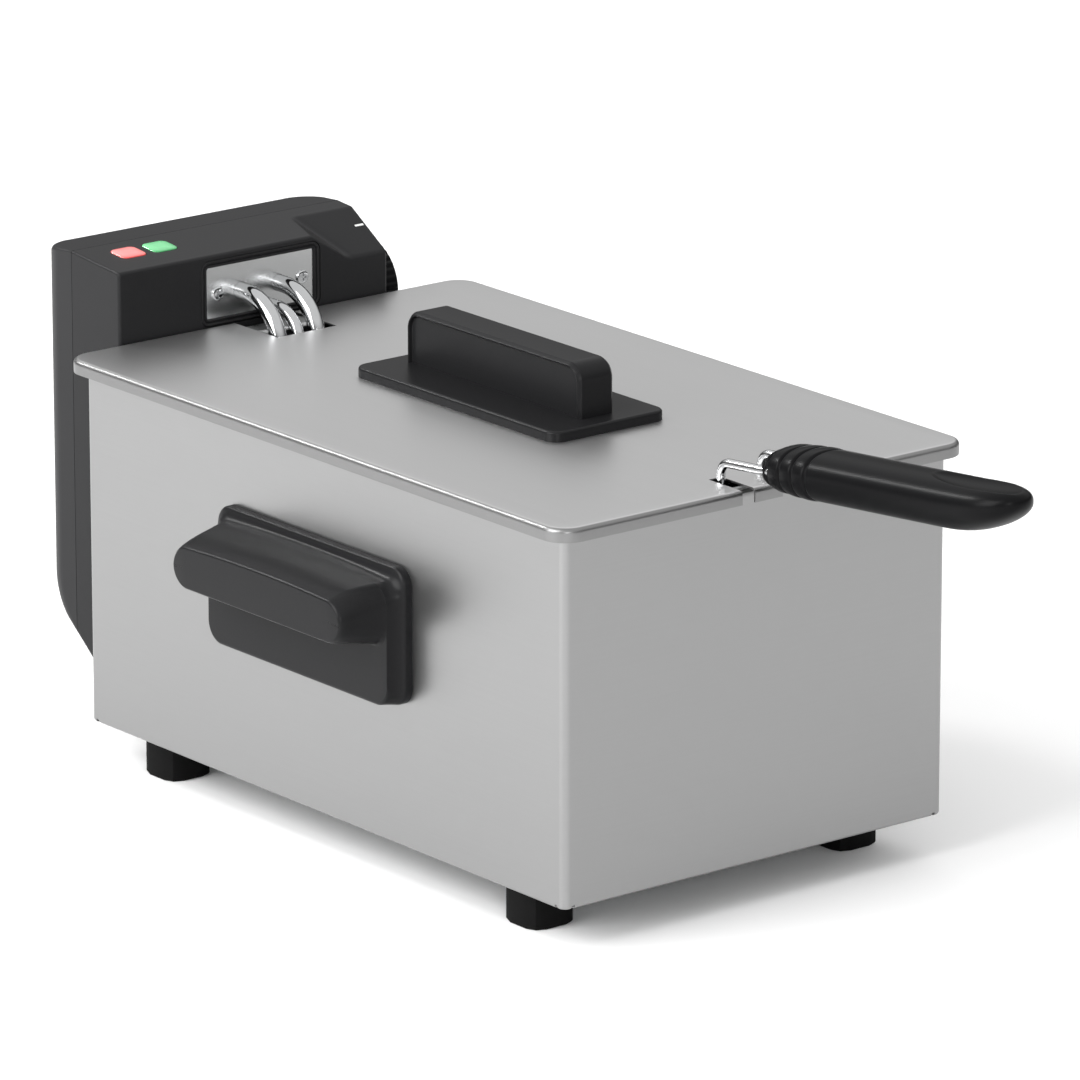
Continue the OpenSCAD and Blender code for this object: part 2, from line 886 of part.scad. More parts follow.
placed() housing_shell();
placed() base_plate();
placed() feet();
placed() foot_screws();
placed() side_handle_left();
placed() side_handle_right();
placed() handle_screws();
placed() head_bracket();
placed() bracket_rivets();
placed() oil_pan();
placed() head_front_shell();
placed() head_rear_cover();
placed() cover_screws();
placed() element_bezel();
placed() element_plate();
placed() plate_screws();
placed() heating_element();
placed() element_support();
placed() capillary_tube();
placed() sensor_bulb();
placed() thermostat_body();
placed() cutout_switch();
placed() interlock_switch();
placed() terminal_block();
placed() red_lamp_lens();
placed() green_lamp_lens();
placed() lamp_holders();
placed() cord_gland();
placed() thermostat_knob();
placed() thermostat_shaft();
placed() reset_button();
placed() interlock_plunger();
placed() basket_frame();
placed() basket_mesh();
placed() handle_socket();
placed() handle_wires();
placed() handle_grip();
placed() lid_panel();
placed() lid_handle_base();
placed() lid_handle_grip();
placed() lid_screws();
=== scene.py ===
"""Looks for a countertop deep fryer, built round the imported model.

Shapes are worked out in millimetres from the middle of the housing (x across, y to the rear, z up from
the worktop), and mesh_object() puts them into the model's own frame in metres.
"""
import math

import bmesh
import bpy
import numpy as np
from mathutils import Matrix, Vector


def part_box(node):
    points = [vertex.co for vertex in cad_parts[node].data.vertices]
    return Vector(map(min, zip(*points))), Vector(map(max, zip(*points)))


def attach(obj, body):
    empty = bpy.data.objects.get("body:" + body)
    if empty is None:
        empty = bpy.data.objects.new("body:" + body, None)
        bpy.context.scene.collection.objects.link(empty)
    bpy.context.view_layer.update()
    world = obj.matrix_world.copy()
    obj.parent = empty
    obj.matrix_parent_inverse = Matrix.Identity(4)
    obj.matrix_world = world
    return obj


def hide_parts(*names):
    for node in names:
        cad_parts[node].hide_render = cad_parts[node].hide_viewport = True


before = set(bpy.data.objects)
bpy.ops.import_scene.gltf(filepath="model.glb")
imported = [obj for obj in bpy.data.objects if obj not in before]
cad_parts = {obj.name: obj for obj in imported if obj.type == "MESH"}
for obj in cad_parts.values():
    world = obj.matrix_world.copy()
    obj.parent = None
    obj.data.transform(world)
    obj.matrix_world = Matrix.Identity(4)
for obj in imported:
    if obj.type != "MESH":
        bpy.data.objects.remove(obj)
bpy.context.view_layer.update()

MM = 0.001
housing_low, housing_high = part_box("housing_shell")
MIDDLE = np.array([0, (housing_low.y + housing_high.y) / 2, 0])


def span(node):
    """Lowest and highest corner of a CAD node, in millimetres from the middle of the housing."""
    return [(np.array(corner) - MIDDLE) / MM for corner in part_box(node)]


def centre_of(node):
    """Middle of a CAD node's box."""
    return sum(span(node)) / 2


# ---------- surfaces ----------


def surface(grid, around=True, ends=True):
    """Faces between the neighbours in a grid of points. around joins each row's end to its start, and
    ends closes the first and last rows with one face each."""
    rows, columns = grid.shape[:2]
    ids = np.arange(rows * columns).reshape(rows, columns)
    wide = np.concatenate([ids, ids[:, :1]], axis=1) if around else ids
    quads = np.stack([wide[:-1, :-1], wide[:-1, 1:], wide[1:, 1:], wide[1:, :-1]], -1).reshape(-1, 4)
    return grid.reshape(-1, 3), quads, [ids[0], ids[-1]] if ends else []


def stack(rows, corner=10, square=()):
    """Rounded rectangles stacked into one grid. A row is (half width, half length, corner radius, middle
    of the length, height), and a point is its corner's centre plus the radius along its direction.
    Corners named in square, counted from the far right and turning left, stay square."""
    half_x, half_y, radius, middle, height = np.array(rows, float).T[:, :, None]
    turn = np.linspace(0, math.pi / 2, corner + 1)
    angle = (turn + np.arange(4)[:, None] * math.pi / 2).reshape(-1)
    side_x = np.repeat([1, -1, -1, 1], corner + 1)
    side_y = np.repeat([1, 1, -1, -1], corner + 1)
    rounded = np.repeat([0 if k in square else 1 for k in range(4)], corner + 1)
    radius = radius * rounded + 0.02 * (1 - rounded)
    x = side_x * (half_x - radius) + radius * np.cos(angle)
    y = middle + side_y * (half_y - radius) + radius * np.sin(angle)
    return np.stack([x, y, height + 0 * x], -1)


def filled(grid, corner, count):
    """Adds points along the straight sides of stacked rounded rectangles, evenly spaced from the end of
    one corner to the start of the next."""
    arcs = grid.reshape(len(grid), 4, corner + 1, 3)
    start, end = arcs[:, :, -1:], np.roll(arcs, -1, 1)[:, :, :1]
    share = np.linspace(0, 1, count + 2)[1:-1, None]
    return np.concatenate([arcs, start + (end - start) * share], 2).reshape(len(grid), -1, 3)


def carried(half_x, half_y, radius, profile, middle=0.0, corner=10, square=()):
    """A profile of (inset, height) carried round a rounded rectangle: each inset moves the sides in and
    takes as much off the corner radius."""
    rows = [(half_x - u, half_y - u, max(radius - u, 0.05), middle, h) for u, h in profile]
    return stack(rows, corner, square)


def edge_round(radius, inset, height, steps=5, outward=1):
    """Profile points of a quarter round that leaves an upright side at its full width and turns in to
    the height given; outward -1 runs it the other way, for an edge at the bottom."""
    turn = np.linspace(0, math.pi / 2, steps)
    points = [(inset + radius * (1 - math.cos(t)), height - outward * radius * (1 - math.sin(t)))
              for t in turn]
    return points if outward > 0 else points[::-1]


def route(corners, bends, steps=12, closed=False):
    """A line through corner points with each corner rounded off: the arc of radius r starts r times the
    tangent of half the turn before the corner and ends as far after it."""
    corners = [np.array(c, float) for c in corners]
    count = len(corners)
    points = []
    for k, (corner, bend) in enumerate(zip(corners, bends)):
        if not closed and k in (0, count - 1):
            points.append(corner[None])
            continue
        back = corners[k - 1] - corner
        ahead = corners[(k + 1) % count] - corner
        back = back / np.linalg.norm(back)
        ahead = ahead / np.linalg.norm(ahead)
        half_turn = (math.pi - math.acos(np.clip(back @ ahead, -1, 1))) / 2
        inner = back + ahead
        inner = inner / np.linalg.norm(inner)
        centre = corner + inner * bend / math.cos(half_turn)
        sweep = np.linspace(-half_turn, half_turn, steps)[:, None]
        along = (ahead - back) / np.linalg.norm(ahead - back)
        points.append(centre - inner * bend * np.cos(sweep) + along * bend * np.sin(sweep))
    return np.concatenate(points)


def tube(path, radius, sides=24, closed=False):
    """A circle carried along a path. Each station's sideways direction is the last one's with its part
    along the path taken out, so that the tube doesn't twist."""
    gaps = np.linalg.norm(np.diff(path, axis=0), axis=1)
    path = path[np.concatenate([[True], gaps > 1e-6])]
    if closed:
        tangent = np.roll(path, -1, 0) - np.roll(path, 1, 0)
    else:
        tangent = np.gradient(path, axis=0)
        step = np.diff(path, axis=0)
        unit = step / np.linalg.norm(step, axis=1)[:, None]
        tangent[1:-1] = unit[:-1] + unit[1:]
    tangent = tangent / np.linalg.norm(tangent, axis=1)[:, None]
    side = np.cross(tangent[0], [0.31, 0.47, 0.83])
    sideways = []
    for direction in tangent:
        side = side - direction * (side @ direction)
        side = side / np.linalg.norm(side)
        sideways.append(side)
    sideways = np.array(sideways)
    upward = np.cross(tangent, sideways)
    angle = np.arange(sides) * 2 * math.pi / sides
    cosine, sine = np.cos(angle)[None, :, None], np.sin(angle)[None, :, None]
    grid = path[:, None] + radius * (cosine * sideways[:, None] + sine * upward[:, None])
    if closed:
        return surface(np.concatenate([grid, grid[:1]])[::-1], ends=False)
    return surface(grid)


def rim_of(grid):
    """The outer points of a grid, once round."""
    return np.concatenate([grid[:-1, 0], grid[-1, :-1], grid[:0:-1, -1], grid[0, :0:-1]])


def topped(top, rows):
    """A grid as the top of a shape, and rings below it that end in one face."""
    points, quads, caps = surface(rows)
    return [surface(top, around=False, ends=False), (points, quads, caps[1:])]


def turned(profile, sides=64):
    """A profile of (radius, height) turned about the z axis."""
    radius, height = np.array(profile, float).T[:, :, None]
    angle = np.arange(sides) * 2 * math.pi / sides
    return np.stack([radius * np.cos(angle), radius * np.sin(angle), height + 0 * angle], -1)


AIMS = {
    "+z": np.eye(3),
    "-z": np.array([[1, 0, 0], [0, -1, 0], [0, 0, -1]]),
    "-y": np.array([[1, 0, 0], [0, 0, -1], [0, 1, 0]]),
    "+y": np.array([[-1, 0, 0], [0, 0, 1], [0, 1, 0]]),
    "+x": np.array([[0, 0, 1], [1, 0, 0], [0, 1, 0]]),
    "-x": np.array([[0, 0, -1], [-1, 0, 0], [0, 1, 0]]),
}


def aimed(grid, aim, origin=(0, 0, 0)):
    """Turns a grid whose front faces +z so that it faces along aim, and moves it to origin."""
    return grid @ AIMS[aim].T + np.array(origin, float)


def smooth_min(a, b, width):
    """The lower of two heights, with the crease between them rounded over the width given."""
    h = np.clip(0.5 + 0.5 * (b - a) / width, 0, 1)
    return b * (1 - h) + a * h - width * h * (1 - h) * 0.5


def smooth_max(a, b, width):
    """The higher of two heights, with the crease rounded in the same way."""
    return -smooth_min(-a, -b, width)


def ramp(value, start, end):
    """0 before start, 1 after end and a smooth S between them."""
    t = np.clip((value - start) / (end - start), 0, 1)
    return t * t * (3 - 2 * t)


# ---------- pieces ----------


def linked(name, data):
    """A new object that shows the data, linked to the scene."""
    made = bpy.data.objects.new(name, data)
    bpy.context.scene.collection.objects.link(made)
    return made


def mesh_object(name, parts):
    """Joins (points, quads, caps) parts into one object, merges what touches and turns faces outwards."""
    starts = np.cumsum([0] + [len(p[0]) for p in parts])
    points = np.concatenate([p[0] for p in parts]) * MM + MIDDLE
    quads = np.concatenate([p[1] + s for p, s in zip(parts, starts)]).tolist()
    caps = [(cap + s).tolist() for p, s in zip(parts, starts) for cap in p[2]]
    mesh = bpy.data.meshes.new(name)
    mesh.from_pydata(points.tolist(), [], quads + caps)
    work = bmesh.new()
    work.from_mesh(mesh)
    bmesh.ops.remove_doubles(work, verts=work.verts, dist=0.002 * MM)
    bmesh.ops.dissolve_degenerate(work, edges=work.edges, dist=0.001 * MM)
    bmesh.ops.recalc_face_normals(work, faces=work.faces)
    work.to_mesh(mesh)
    work.free()
    return linked(name, mesh)


def settle(made):
    """Replaces an object's mesh by what its modifiers make of it."""
    bpy.context.view_layer.update()
    ready = made.evaluated_get(bpy.context.evaluated_depsgraph_get())
    mesh = bpy.data.meshes.new_from_object(ready)
    made.modifiers.clear()
    made.data = mesh
    return made


def walled(made, thickness):
    """Gives an open skin a wall on its inner side."""
    solid = made.modifiers.new("wall", "SOLIDIFY")
    solid.thickness = thickness * MM
    solid.offset = -1
    solid.use_even_offset = True
    return settle(made)


def cut(made, parts, operation="DIFFERENCE"):
    """Takes closed shapes out of an object, or joins them to it with UNION."""
    knife = mesh_object("knife", parts)
    difference = made.modifiers.new("cut", "BOOLEAN")
    difference.operation = operation
    difference.solver = "EXACT"
    difference.object = knife
    settle(made)
    bpy.data.objects.remove(knife)
    return made


def bevelled(made, width, angle=40):
    """Breaks every edge sharper than the angle."""
    bevel = made.modifiers.new("edges", "BEVEL")
    bevel.width = width * MM
    bevel.segments = 2
    bevel.limit_method = "ANGLE"
    bevel.angle_limit = math.radians(angle)
    return settle(made)


def finished(made, material, body, slot, *nodes, sharp=38):
    """Shades an object, gives it its material and seats it on its body in place of the CAD nodes."""
    made.data.materials.clear()
    made.data.materials.append(material)
    made.data.shade_smooth()
    made.data.set_sharp_from_angle(angle=math.radians(sharp))
    weighted = made.modifiers.new("flat faces stay flat", "WEIGHTED_NORMAL")
    weighted.keep_sharp = True
    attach(made, body)
    if nodes:
        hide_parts(*nodes)
    return made


def piece(name, parts, *seat, sharp=38):
    """Makes an object of its parts and finishes it; seat is the material, body, slot and CAD nodes, and the
    slot is not used.
    """
    return finished(mesh_object(name, parts), *seat, sharp=sharp)


def block(low, high, radius=0.05):
    """A box from corner to corner with rounded upright edges."""
    low, high = np.array(low, float), np.array(high, float)
    half = (high - low) / 2
    middle = (low + high) / 2
    grid = stack([(half[0], half[1], radius, 0, -half[2]), (half[0], half[1], radius, 0, half[2])], 4)
    return surface(grid + middle)


# ---------- materials ----------


def linear(hex_colour):
    """sRGB hex to linear red, green, blue and alpha."""
    channels = [int(hex_colour[i:i + 2], 16) / 255 for i in (1, 3, 5)]
    return [c / 12.92 if c <= 0.04045 else ((c + 0.055) / 1.055) ** 2.4 for c in channels] + [1.0]


def add(tree, kind, settings=None, **links):
    """Adds a node, sets its properties or input values, and links its inputs to other nodes' outputs.
    A name ending in a digit, such as A_1, means the input of that number."""
    node = tree.nodes.new(kind)
    for key, value in (settings or {}).items():
        if isinstance(key, str) and hasattr(node, key):
            setattr(node, key, value)
        else:
            node.inputs[key].default_value = value
    for key, output in links.items():
        target = int(key.split("_")[-1]) if key[-1].isdigit() else key.replace("_", " ")
        tree.links.new(output, node.inputs[target])
    return node


def new_material(name, colour, **shader):
    """A material with one shader, whose fixed values are set on its own sockets."""
    material = bpy.data.materials.new(name)
    material.use_nodes = True
    tree = material.node_tree
    principled = tree.nodes["Principled BSDF"]
    principled.inputs["Base Color"].default_value = linear(colour)
    for key, value in shader.items():
        principled.inputs[key.replace("_", " ").title().replace("Ior", "IOR")].default_value = value
    return material, tree, principled


def coloured(tree, principled, low, high, factor, rough):
    """Links a mix of two colours, and a roughness, to a shader."""
    tint = add(tree, "ShaderNodeMix", {"data_type": "RGBA", 6: linear(low), 7: linear(high)}, Factor=factor)
    tree.links.new(tint.outputs[2], principled.inputs["Base Color"])
    tree.links.new(rough.outputs[0], principled.inputs["Roughness"])


def grained(name, colour, shade, grain, spread, height, **shader):
    """A surface with noise on Object coordinates. grain is the size of a grain in millimetres along x, y
    and z; shade is the colour that the noise leads to, spread the least and most roughness, and height
    the bump in millimetres."""
    material, tree, principled = new_material(name, colour, **shader)
    place = add(tree, "ShaderNodeTexCoord")
    scale = [1 / (g * MM) for g in grain]
    mapping = add(tree, "ShaderNodeMapping", {"Scale": scale}, Vector=place.outputs["Object"])
    noise = add(tree, "ShaderNodeTexNoise", {"Scale": 1.0, "Detail": 3.0}, Vector=mapping.outputs[0])
    rough = add(tree, "ShaderNodeMapRange", {"To Min": spread[0], "To Max": spread[1]},
                Value=noise.outputs[0])
    relief = {"Strength": 1.0, "Distance": height * MM}
    bump = add(tree, "ShaderNodeBump", relief, Height=noise.outputs[0])
    coloured(tree, principled, colour, shade, noise.outputs[0], rough)
    tree.links.new(bump.outputs[0], principled.inputs["Normal"])
    return material


def metal(*look):
    """A grained surface of bare metal."""
    return grained(*look, metallic=1.0)


def painted_shade_rim(material, colour):
    """Paints shade on a brushed top's rim: colour takes over as the face turns sideways, so the rolled edge
    is painted darker than the top.
    """
    tree = material.node_tree
    base = tree.nodes["Principled BSDF"].inputs["Base Color"]
    place = add(tree, "ShaderNodeTexCoord")
    split = add(tree, "ShaderNodeSeparateXYZ", Vector=place.outputs["Normal"])
    turn = {"From Min": 0.86, "From Max": 0.995}
    upward = add(tree, "ShaderNodeMapRange", turn, Value=split.outputs["Z"])
    blend = add(tree, "ShaderNodeMix", {"data_type": "RGBA", 6: linear(colour)}, Factor=upward.outputs[0])
    tree.links.new(base.links[0].from_socket, blend.inputs[7])
    tree.links.new(blend.outputs[2], base)
    return material


def lens_plastic(name, face, side, top):
    """Tinted clear plastic over a pale diffuser: pale on its face and deep in colour down its sides,
    where it is looked at through its thickness."""
    material, tree, principled = new_material(name, face, roughness=0.22, ior=1.49, coat_weight=0.5)
    place = add(tree, "ShaderNodeTexCoord")
    split = add(tree, "ShaderNodeSeparateXYZ", Vector=place.outputs["Object"])
    level = add(tree, "ShaderNodeMapRange", {"From Min": (top - 1.3) * MM, "From Max": (top - 0.2) * MM},
                Value=split.outputs["Z"])
    mottle = add(tree, "ShaderNodeTexNoise", {"Scale": 400.0}, Vector=place.outputs["Object"])
    rough = add(tree, "ShaderNodeMapRange", {"To Min": 0.18, "To Max": 0.28}, Value=mottle.outputs[0])
    coloured(tree, principled, side, face, level.outputs[0], rough)
    return material


# Brushed 304 stainless sheet: a satin sheen drawn out along the grain. The grit's lines are about
# 0.1 mm apart; they are drawn 0.9 mm apart so that they still show.
# The walls and the lid are one stainless steel: the walls' colour is painted darker and the lid's lighter,
# painted shade on the upright sides and painted light on the top.
brushed_side = metal("brushed_stainless_walls", "#959595", "#989898", (120, 120, 0.9), (0.33, 0.37), 0.0015)
brushed_lid = metal("brushed_stainless_lid", "#d0d0d0", "#d4d4d4", (0.9, 160, 160), (0.36, 0.40), 0.002)
# The lid's rim is painted darker grey where its faces turn sideways: painted shade on the rolled edge.
painted_shade_rim(brushed_lid, "#848484")
# Deep-drawn stainless pan: duller, with faint draw marks down its sides.
drawn_steel = metal("drawn_stainless", "#a9aaaa", "#b9baba", (3, 3, 60), (0.24, 0.34), 0.01)
# Zinc-plated sheet: grey with the soft spangle of the plating, about 6 mm across.
zinc = metal("zinc_plated_steel", "#8c8e8f", "#a2a4a4", (6, 6, 6), (0.36, 0.5), 0.006)
# Mirror-polished stainless of the small fastenings and fittings.
polished = metal("polished_stainless", "#cfd0d1", "#d9dadb", (8, 8, 8), (0.07, 0.13), 0.002)
# Satin-polished stainless of the element plate: light, with the tubes only as soft reflections.
satin_plate = metal("satin_plate_stainless", "#d4d5d5", "#dcdddd", (8, 8, 8), (0.20, 0.28), 0.002)
# Bright-drawn steel wire and tube, nickel-plated: clean reflections that break up a little.
bright_wire = metal("nickel_plated_wire", "#c4c5c6", "#cfd0d1", (5, 5, 5), (0.05, 0.10), 0.002)
basket_wire = metal("nickel_plated_mesh", "#c2c4c5", "#d0d1d2", (4, 4, 4), (0.14, 0.24), 0.004)
# Incoloy sheath of the heating loop below the rim, dulled by heat.
sheath = metal("heater_sheath", "#b4b5b6", "#bfc0c1", (9, 9, 9), (0.04, 0.09), 0.002)
# Copper bulb of the thermostat.
copper = metal("copper_bulb", "#b87f5c", "#a56d4c", (5, 5, 12), (0.22, 0.34), 0.004)
# Polypropylene mouldings with a spark-eroded texture, whose grains of 0.15 mm are drawn 0.7 mm wide.
head_plastic = grained("textured_head_moulding", "#212122", "#262627", (0.7, 0.7, 0.7), (0.36, 0.44), 0.008,
                       ior=1.49, specular_ior_level=0.12)
cover_plastic = grained("textured_cover_moulding", "#262627", "#2b2b2c", (0.7, 0.7, 0.7), (0.40, 0.48), 0.008,
                        ior=1.49, specular_ior_level=0.12)
# Glass-filled polyamide grips: smoother, with a soft sheen along edges.
grip_plastic = grained("satin_grip_moulding", "#0d0d0e", "#111112", (1.1, 1.1, 1.1), (0.28, 0.34), 0.004,
                       ior=1.53, specular_ior_level=0.06)
handle_plastic = grained("satin_handle_moulding", "#1a1a1b", "#1f1f20", (0.9, 0.9, 0.9), (0.28, 0.35), 0.005,
                         ior=1.53, specular_ior_level=0.1)
# Nitrile rubber feet: dead matt.
foot_rubber = grained("nitrile_rubber", "#060606", "#0b0b0b", (1.2, 1.2, 1.2), (0.62, 0.75), 0.02, ior=1.52,
                      specular_ior_level=0.1)
# Phenolic mouldings of the switches: brown-grey with a filler's speckle.
phenolic = grained("phenolic_moulding", "#a89c86", "#958a75", (1.5, 1.5, 1.5), (0.45, 0.6), 0.01, ior=1.6)
# Red ABS of the reset button.
red_button = grained("red_abs", "#b0231c", "#a01e18", (1.0, 1.0, 1.0), (0.28, 0.36), 0.004, ior=1.53)
# White pad-printed ink of the scale and the index mark.
white_ink = grained("printed_ink", "#e6e6e4", "#dcdcda", (0.5, 0.5, 0.5), (0.5, 0.6), 0.002, ior=1.5)


# ---------- housing ----------

HOUSING = span("housing_shell")
BODY_HALF = HOUSING[1][:2]
FOOT_H = HOUSING[0][2]
SHELL_TOP = HOUSING[1][2]


def housing():
    """Sheet-steel box: one closed profile goes up the outside, over the top edge, along a narrow flange
    and back down the inside to the turned-in bottom flange. Bend reliefs are cut by the bottom corners."""
    sheet, corner_r, bend = 1.0, 3.5, 1.3
    flange, bottom_flange = 3.2, 12.0
    profile = [(bottom_flange, FOOT_H)] + edge_round(bend, 0, FOOT_H, 4, -1)
    profile += edge_round(bend, 0, SHELL_TOP, 4)
    profile += [(flange, SHELL_TOP), (flange, SHELL_TOP - sheet), (sheet, SHELL_TOP - sheet),
                (sheet, FOOT_H + sheet), (bottom_flange, FOOT_H + sheet), (bottom_flange, FOOT_H)]
    made = mesh_object("housing_skin", [surface(carried(*BODY_HALF, corner_r, profile), ends=False)])
    relief, gap, rise = 5.0, 1.6, 1.5
    a, b = BODY_HALF
    slits = []
    for side in (-1, 1):
        for end in (-1, 1):
            x, y = side * a, end * b
            slits.append(block([x - side * relief - gap / 2, y - 2, FOOT_H - 1],
                               [x - side * relief + gap / 2, y + 2, FOOT_H + rise]))
            slits.append(block([x - 2, y - end * relief - gap / 2, FOOT_H - 1],
                               [x + 2, y - end * relief + gap / 2, FOOT_H + rise]))
    cut(made, slits)
    finished(made, brushed_side, "housing", "satin_steel", "housing_shell")


def feet():
    """Moulded feet: octagons with a soft bottom edge, hollow where the screw goes in."""
    low, high = span("feet")
    half, chamfer, lip, well = 11.5, 6.5, 1.0, 5.0
    profile = [(half - well, 8.0), (half - well, 0.3), (half - well - 0.3, 0)]
    profile += edge_round(lip, 0, 0, 4, -1) + [(0, FOOT_H - 0.3), (0.3, FOOT_H)]
    parts = []
    for x in (low[0] + half, high[0] - half):
        for y in (low[1] + half, high[1] - half):
            parts.append(surface(carried(half, half, chamfer, profile, corner=2) + [x, y, 0]))
    made = bevelled(mesh_object("feet_moulded", parts), 0.5, 30)
    finished(made, foot_rubber, "housing", "foot_rubber", "feet")


# Rows of the side handle: reach from the wall, half length, underside, top, corner radius. The plate's
# edge is rounded, its face falls to the wing's root in a hollow curve, the block's lower edge turns in,
# and the wing's arched top and its ends draw in to a rounded front.
SIDE_ROWS = [
    (0.0, 63.5, 79.5, 138.0, 8.0), (2.6, 63.5, 79.5, 138.0, 8.0), (3.3, 63.35, 79.6, 137.8, 7.9),
    (3.8, 63.1, 79.7, 137.3, 7.8), (4.1, 62.9, 79.75, 136.4, 7.7), (4.4, 62.7, 79.8, 135.0, 7.6),
    (5.2, 62.3, 79.9, 133.6, 7.6), (6.6, 61.8, 80.0, 132.8, 7.7), (8.6, 61.2, 80.1, 132.4, 8.0),
    (9.8, 60.95, 80.2, 132.3, 8.0), (10.4, 60.8, 80.45, 132.25, 8.0), (10.85, 60.7, 81.0, 132.2, 8.0),
    (11.0, 60.65, 81.8, 132.2, 8.0), (11.0, 60.6, 105.0, 132.2, 8.2), (11.3, 60.5, 105.9, 132.15, 8.3),
    (12.0, 60.3, 106.4, 132.1, 8.4), (14.0, 59.8, 106.7, 131.9, 8.5), (18.0, 59.0, 107.2, 131.4, 8.7),
    (22.0, 58.3, 107.8, 130.7, 8.9), (26.0, 57.8, 108.3, 129.7, 9.0), (29.0, 57.4, 108.7, 128.6, 9.0),
    (30.6, 57.1, 109.1, 128.0, 9.0), (31.3, 56.8, 109.4, 127.6, 8.9), (31.75, 56.4, 109.8, 127.1, 8.6),
    (32.0, 55.9, 110.3, 126.5, 8.2), (32.0, 48.0, 118.0, 119.0, 0.4),
]


def side_handle(side, word):
    """One side handle: rounded rectangles in the y-z plane, stacked outwards from the wall. The wing's
    upper side is arched along its length: higher in the middle and lower at both ends."""
    rows = [(half, (top - low) / 2, r, (top + low) / 2, reach) for reach, half, low, top, r in SIDE_ROWS]
    grid = filled(stack(rows, 14), 14, 12)
    along, up, reach = np.moveaxis(grid, -1, 0)
    arch = 1.1 - 2.2 * (along / SIDE_ROWS[0][1]) ** 2
    grid[..., 1] = up + arch * ramp(reach, 4.2, 7.0) * ramp(up, 112, 124)
    placed = np.stack([side * (BODY_HALF[0] + grid[..., 2]), grid[..., 0], grid[..., 1]], -1)
    piece("side_handle_" + word + "_moulded", [surface(placed)],
          handle_plastic, "housing", "handle_black", "side_handle_" + word, sharp=50)


# ---------- oil pan ----------


def oil_pan():
    """Deep-drawn tub hung on a flat rim: the rows run from the inner floor up the inner wall, across the
    rim and back down outside, with the same rounding at floor and mouth."""
    low, high = span("oil_pan")
    wall, floor_r, mouth_r, corner_r = 1.0, 9.0, 2.0, 24.0
    half_x, front, rear = 92.0, -158.0, 152.0
    middle, half_y = (front + rear) / 2, (rear - front) / 2
    top, floor = high[2], low[2]
    turn = np.linspace(0, math.pi / 2, 7)

    def tub(inset, z):
        return (half_x - inset, half_y - inset, corner_r - inset, middle, z)

    inner = [tub(wall + floor_r * (1 - math.sin(t)), floor + wall + floor_r * (1 - math.cos(t)))
             for t in turn]
    mouth = [tub(wall - mouth_r * (1 - math.cos(t)), top - mouth_r * (1 - math.sin(t))) for t in turn]
    rim_edge = [(high[0], high[1], 3.5, 0, top), (high[0], high[1], 3.5, 0, top - wall)]
    under = [tub(-mouth_r * (1 - math.cos(t)), top - wall - mouth_r * (1 - math.sin(t)))
             for t in turn[::-1]]
    outer = [tub(floor_r * (1 - math.sin(t)), floor + floor_r * (1 - math.cos(t))) for t in turn[::-1]]
    grid = stack(inner + mouth + rim_edge + under + outer, 12)
    piece("oil_pan_drawn", [surface(grid)], drawn_steel, "pan", "pan_steel", "oil_pan")


# ---------- lid ----------

LID = span("lid_panel")
LID_TOP = LID[1][2]


def lid():
    """Pressed sheet lid. Each edge point of the rounded outline is drawn in by rings: up the rim, over
    the rounded edge, then flat to an inner rectangle that one face fills. Cells in the two wire slots
    and in the rear notch are left open before the sheet gets its thickness."""
    half_x, half_y = LID[1][:2]
    sheet, broken_edge = 1.0, 0.18
    corner_r, bend, inner, true_inset = 11.0, 2.2, 36.0, 8.0
    slot_x, slot_half, slot_deep = 10.5, 3.25, 21.4
    notch_left, notch_right, notch_deep = -18.0, 13.6, 32.0
    turn = np.linspace(0, math.pi / 2, 12)
    sides_x = [slot_x - slot_half, slot_x + slot_half, half_x - inner, half_x - corner_r]
    front_x = np.array([-x for x in sides_x[::-1]] + sides_x)
    rear_x = np.array([half_x - corner_r, half_x - inner, notch_right, notch_left,
                       inner - half_x, corner_r - half_x])
    long_y = np.array([corner_r - half_y, inner - half_y, half_y - inner, half_y - corner_r])

    def straight(x, y, normal):
        return np.stack([x + 0 * y, y + 0 * x, normal[0] + 0 * (x + y), normal[1] + 0 * (x + y)], -1)

    def arc(side_x, side_y, start):
        x, y = np.cos(turn + start), np.sin(turn + start)
        return np.stack([side_x * (half_x - corner_r) + corner_r * x,
                         side_y * (half_y - corner_r) + corner_r * y, x, y], -1)[1:-1]

    quarter = math.pi / 2
    outline = np.concatenate([
        straight(front_x, np.array(-half_y), (0, -1)), arc(1, -1, -quarter),
        straight(np.array(half_x), long_y, (1, 0)), arc(1, 1, 0),
        straight(rear_x, np.array(half_y), (0, 1)), arc(-1, 1, quarter),
        straight(np.array(-half_x), long_y[::-1], (-1, 0)), arc(-1, -1, 2 * quarter)])
    edge, normal = outline[:, :2], outline[:, 2:]
    target = np.clip(edge, [inner - half_x, inner - half_y], [half_x - inner, half_y - inner])
    profile = [(0, LID[0][2])] + edge_round(bend, 0, LID_TOP, 6)
    profile += [(true_inset, LID_TOP), (slot_deep, LID_TOP), (notch_deep, LID_TOP), (inner, LID_TOP)]
    inset, height = np.array(profile).T
    near = edge - np.minimum(inset, true_inset)[:, None, None] * normal
    share = np.clip((inset - true_inset) / (inner - true_inset), 0, 1)[:, None, None]
    flat = near + share * (target - near)
    grid = np.concatenate([flat, height[:, None, None] + 0 * flat[..., :1]], -1)
    points, quads, _ = surface(grid, ends=False)
    centre = points[quads].mean(axis=1)
    in_slot = (abs(abs(centre[:, 0]) - slot_x) < slot_half) & (centre[:, 1] < slot_deep - half_y)
    across = (centre[:, 0] > notch_left) & (centre[:, 0] < notch_right)
    in_notch = across & (centre[:, 1] > half_y - notch_deep)
    ring = len(edge)
    last = np.arange(ring) + (len(profile) - 1) * ring
    made = mesh_object("lid_sheet", [(points, quads[~(in_slot | in_notch)], [last])])
    walled(made, sheet)
    bevelled(made, broken_edge, 60)
    finished(made, brushed_lid, "lid", "satin_steel", "lid_panel")


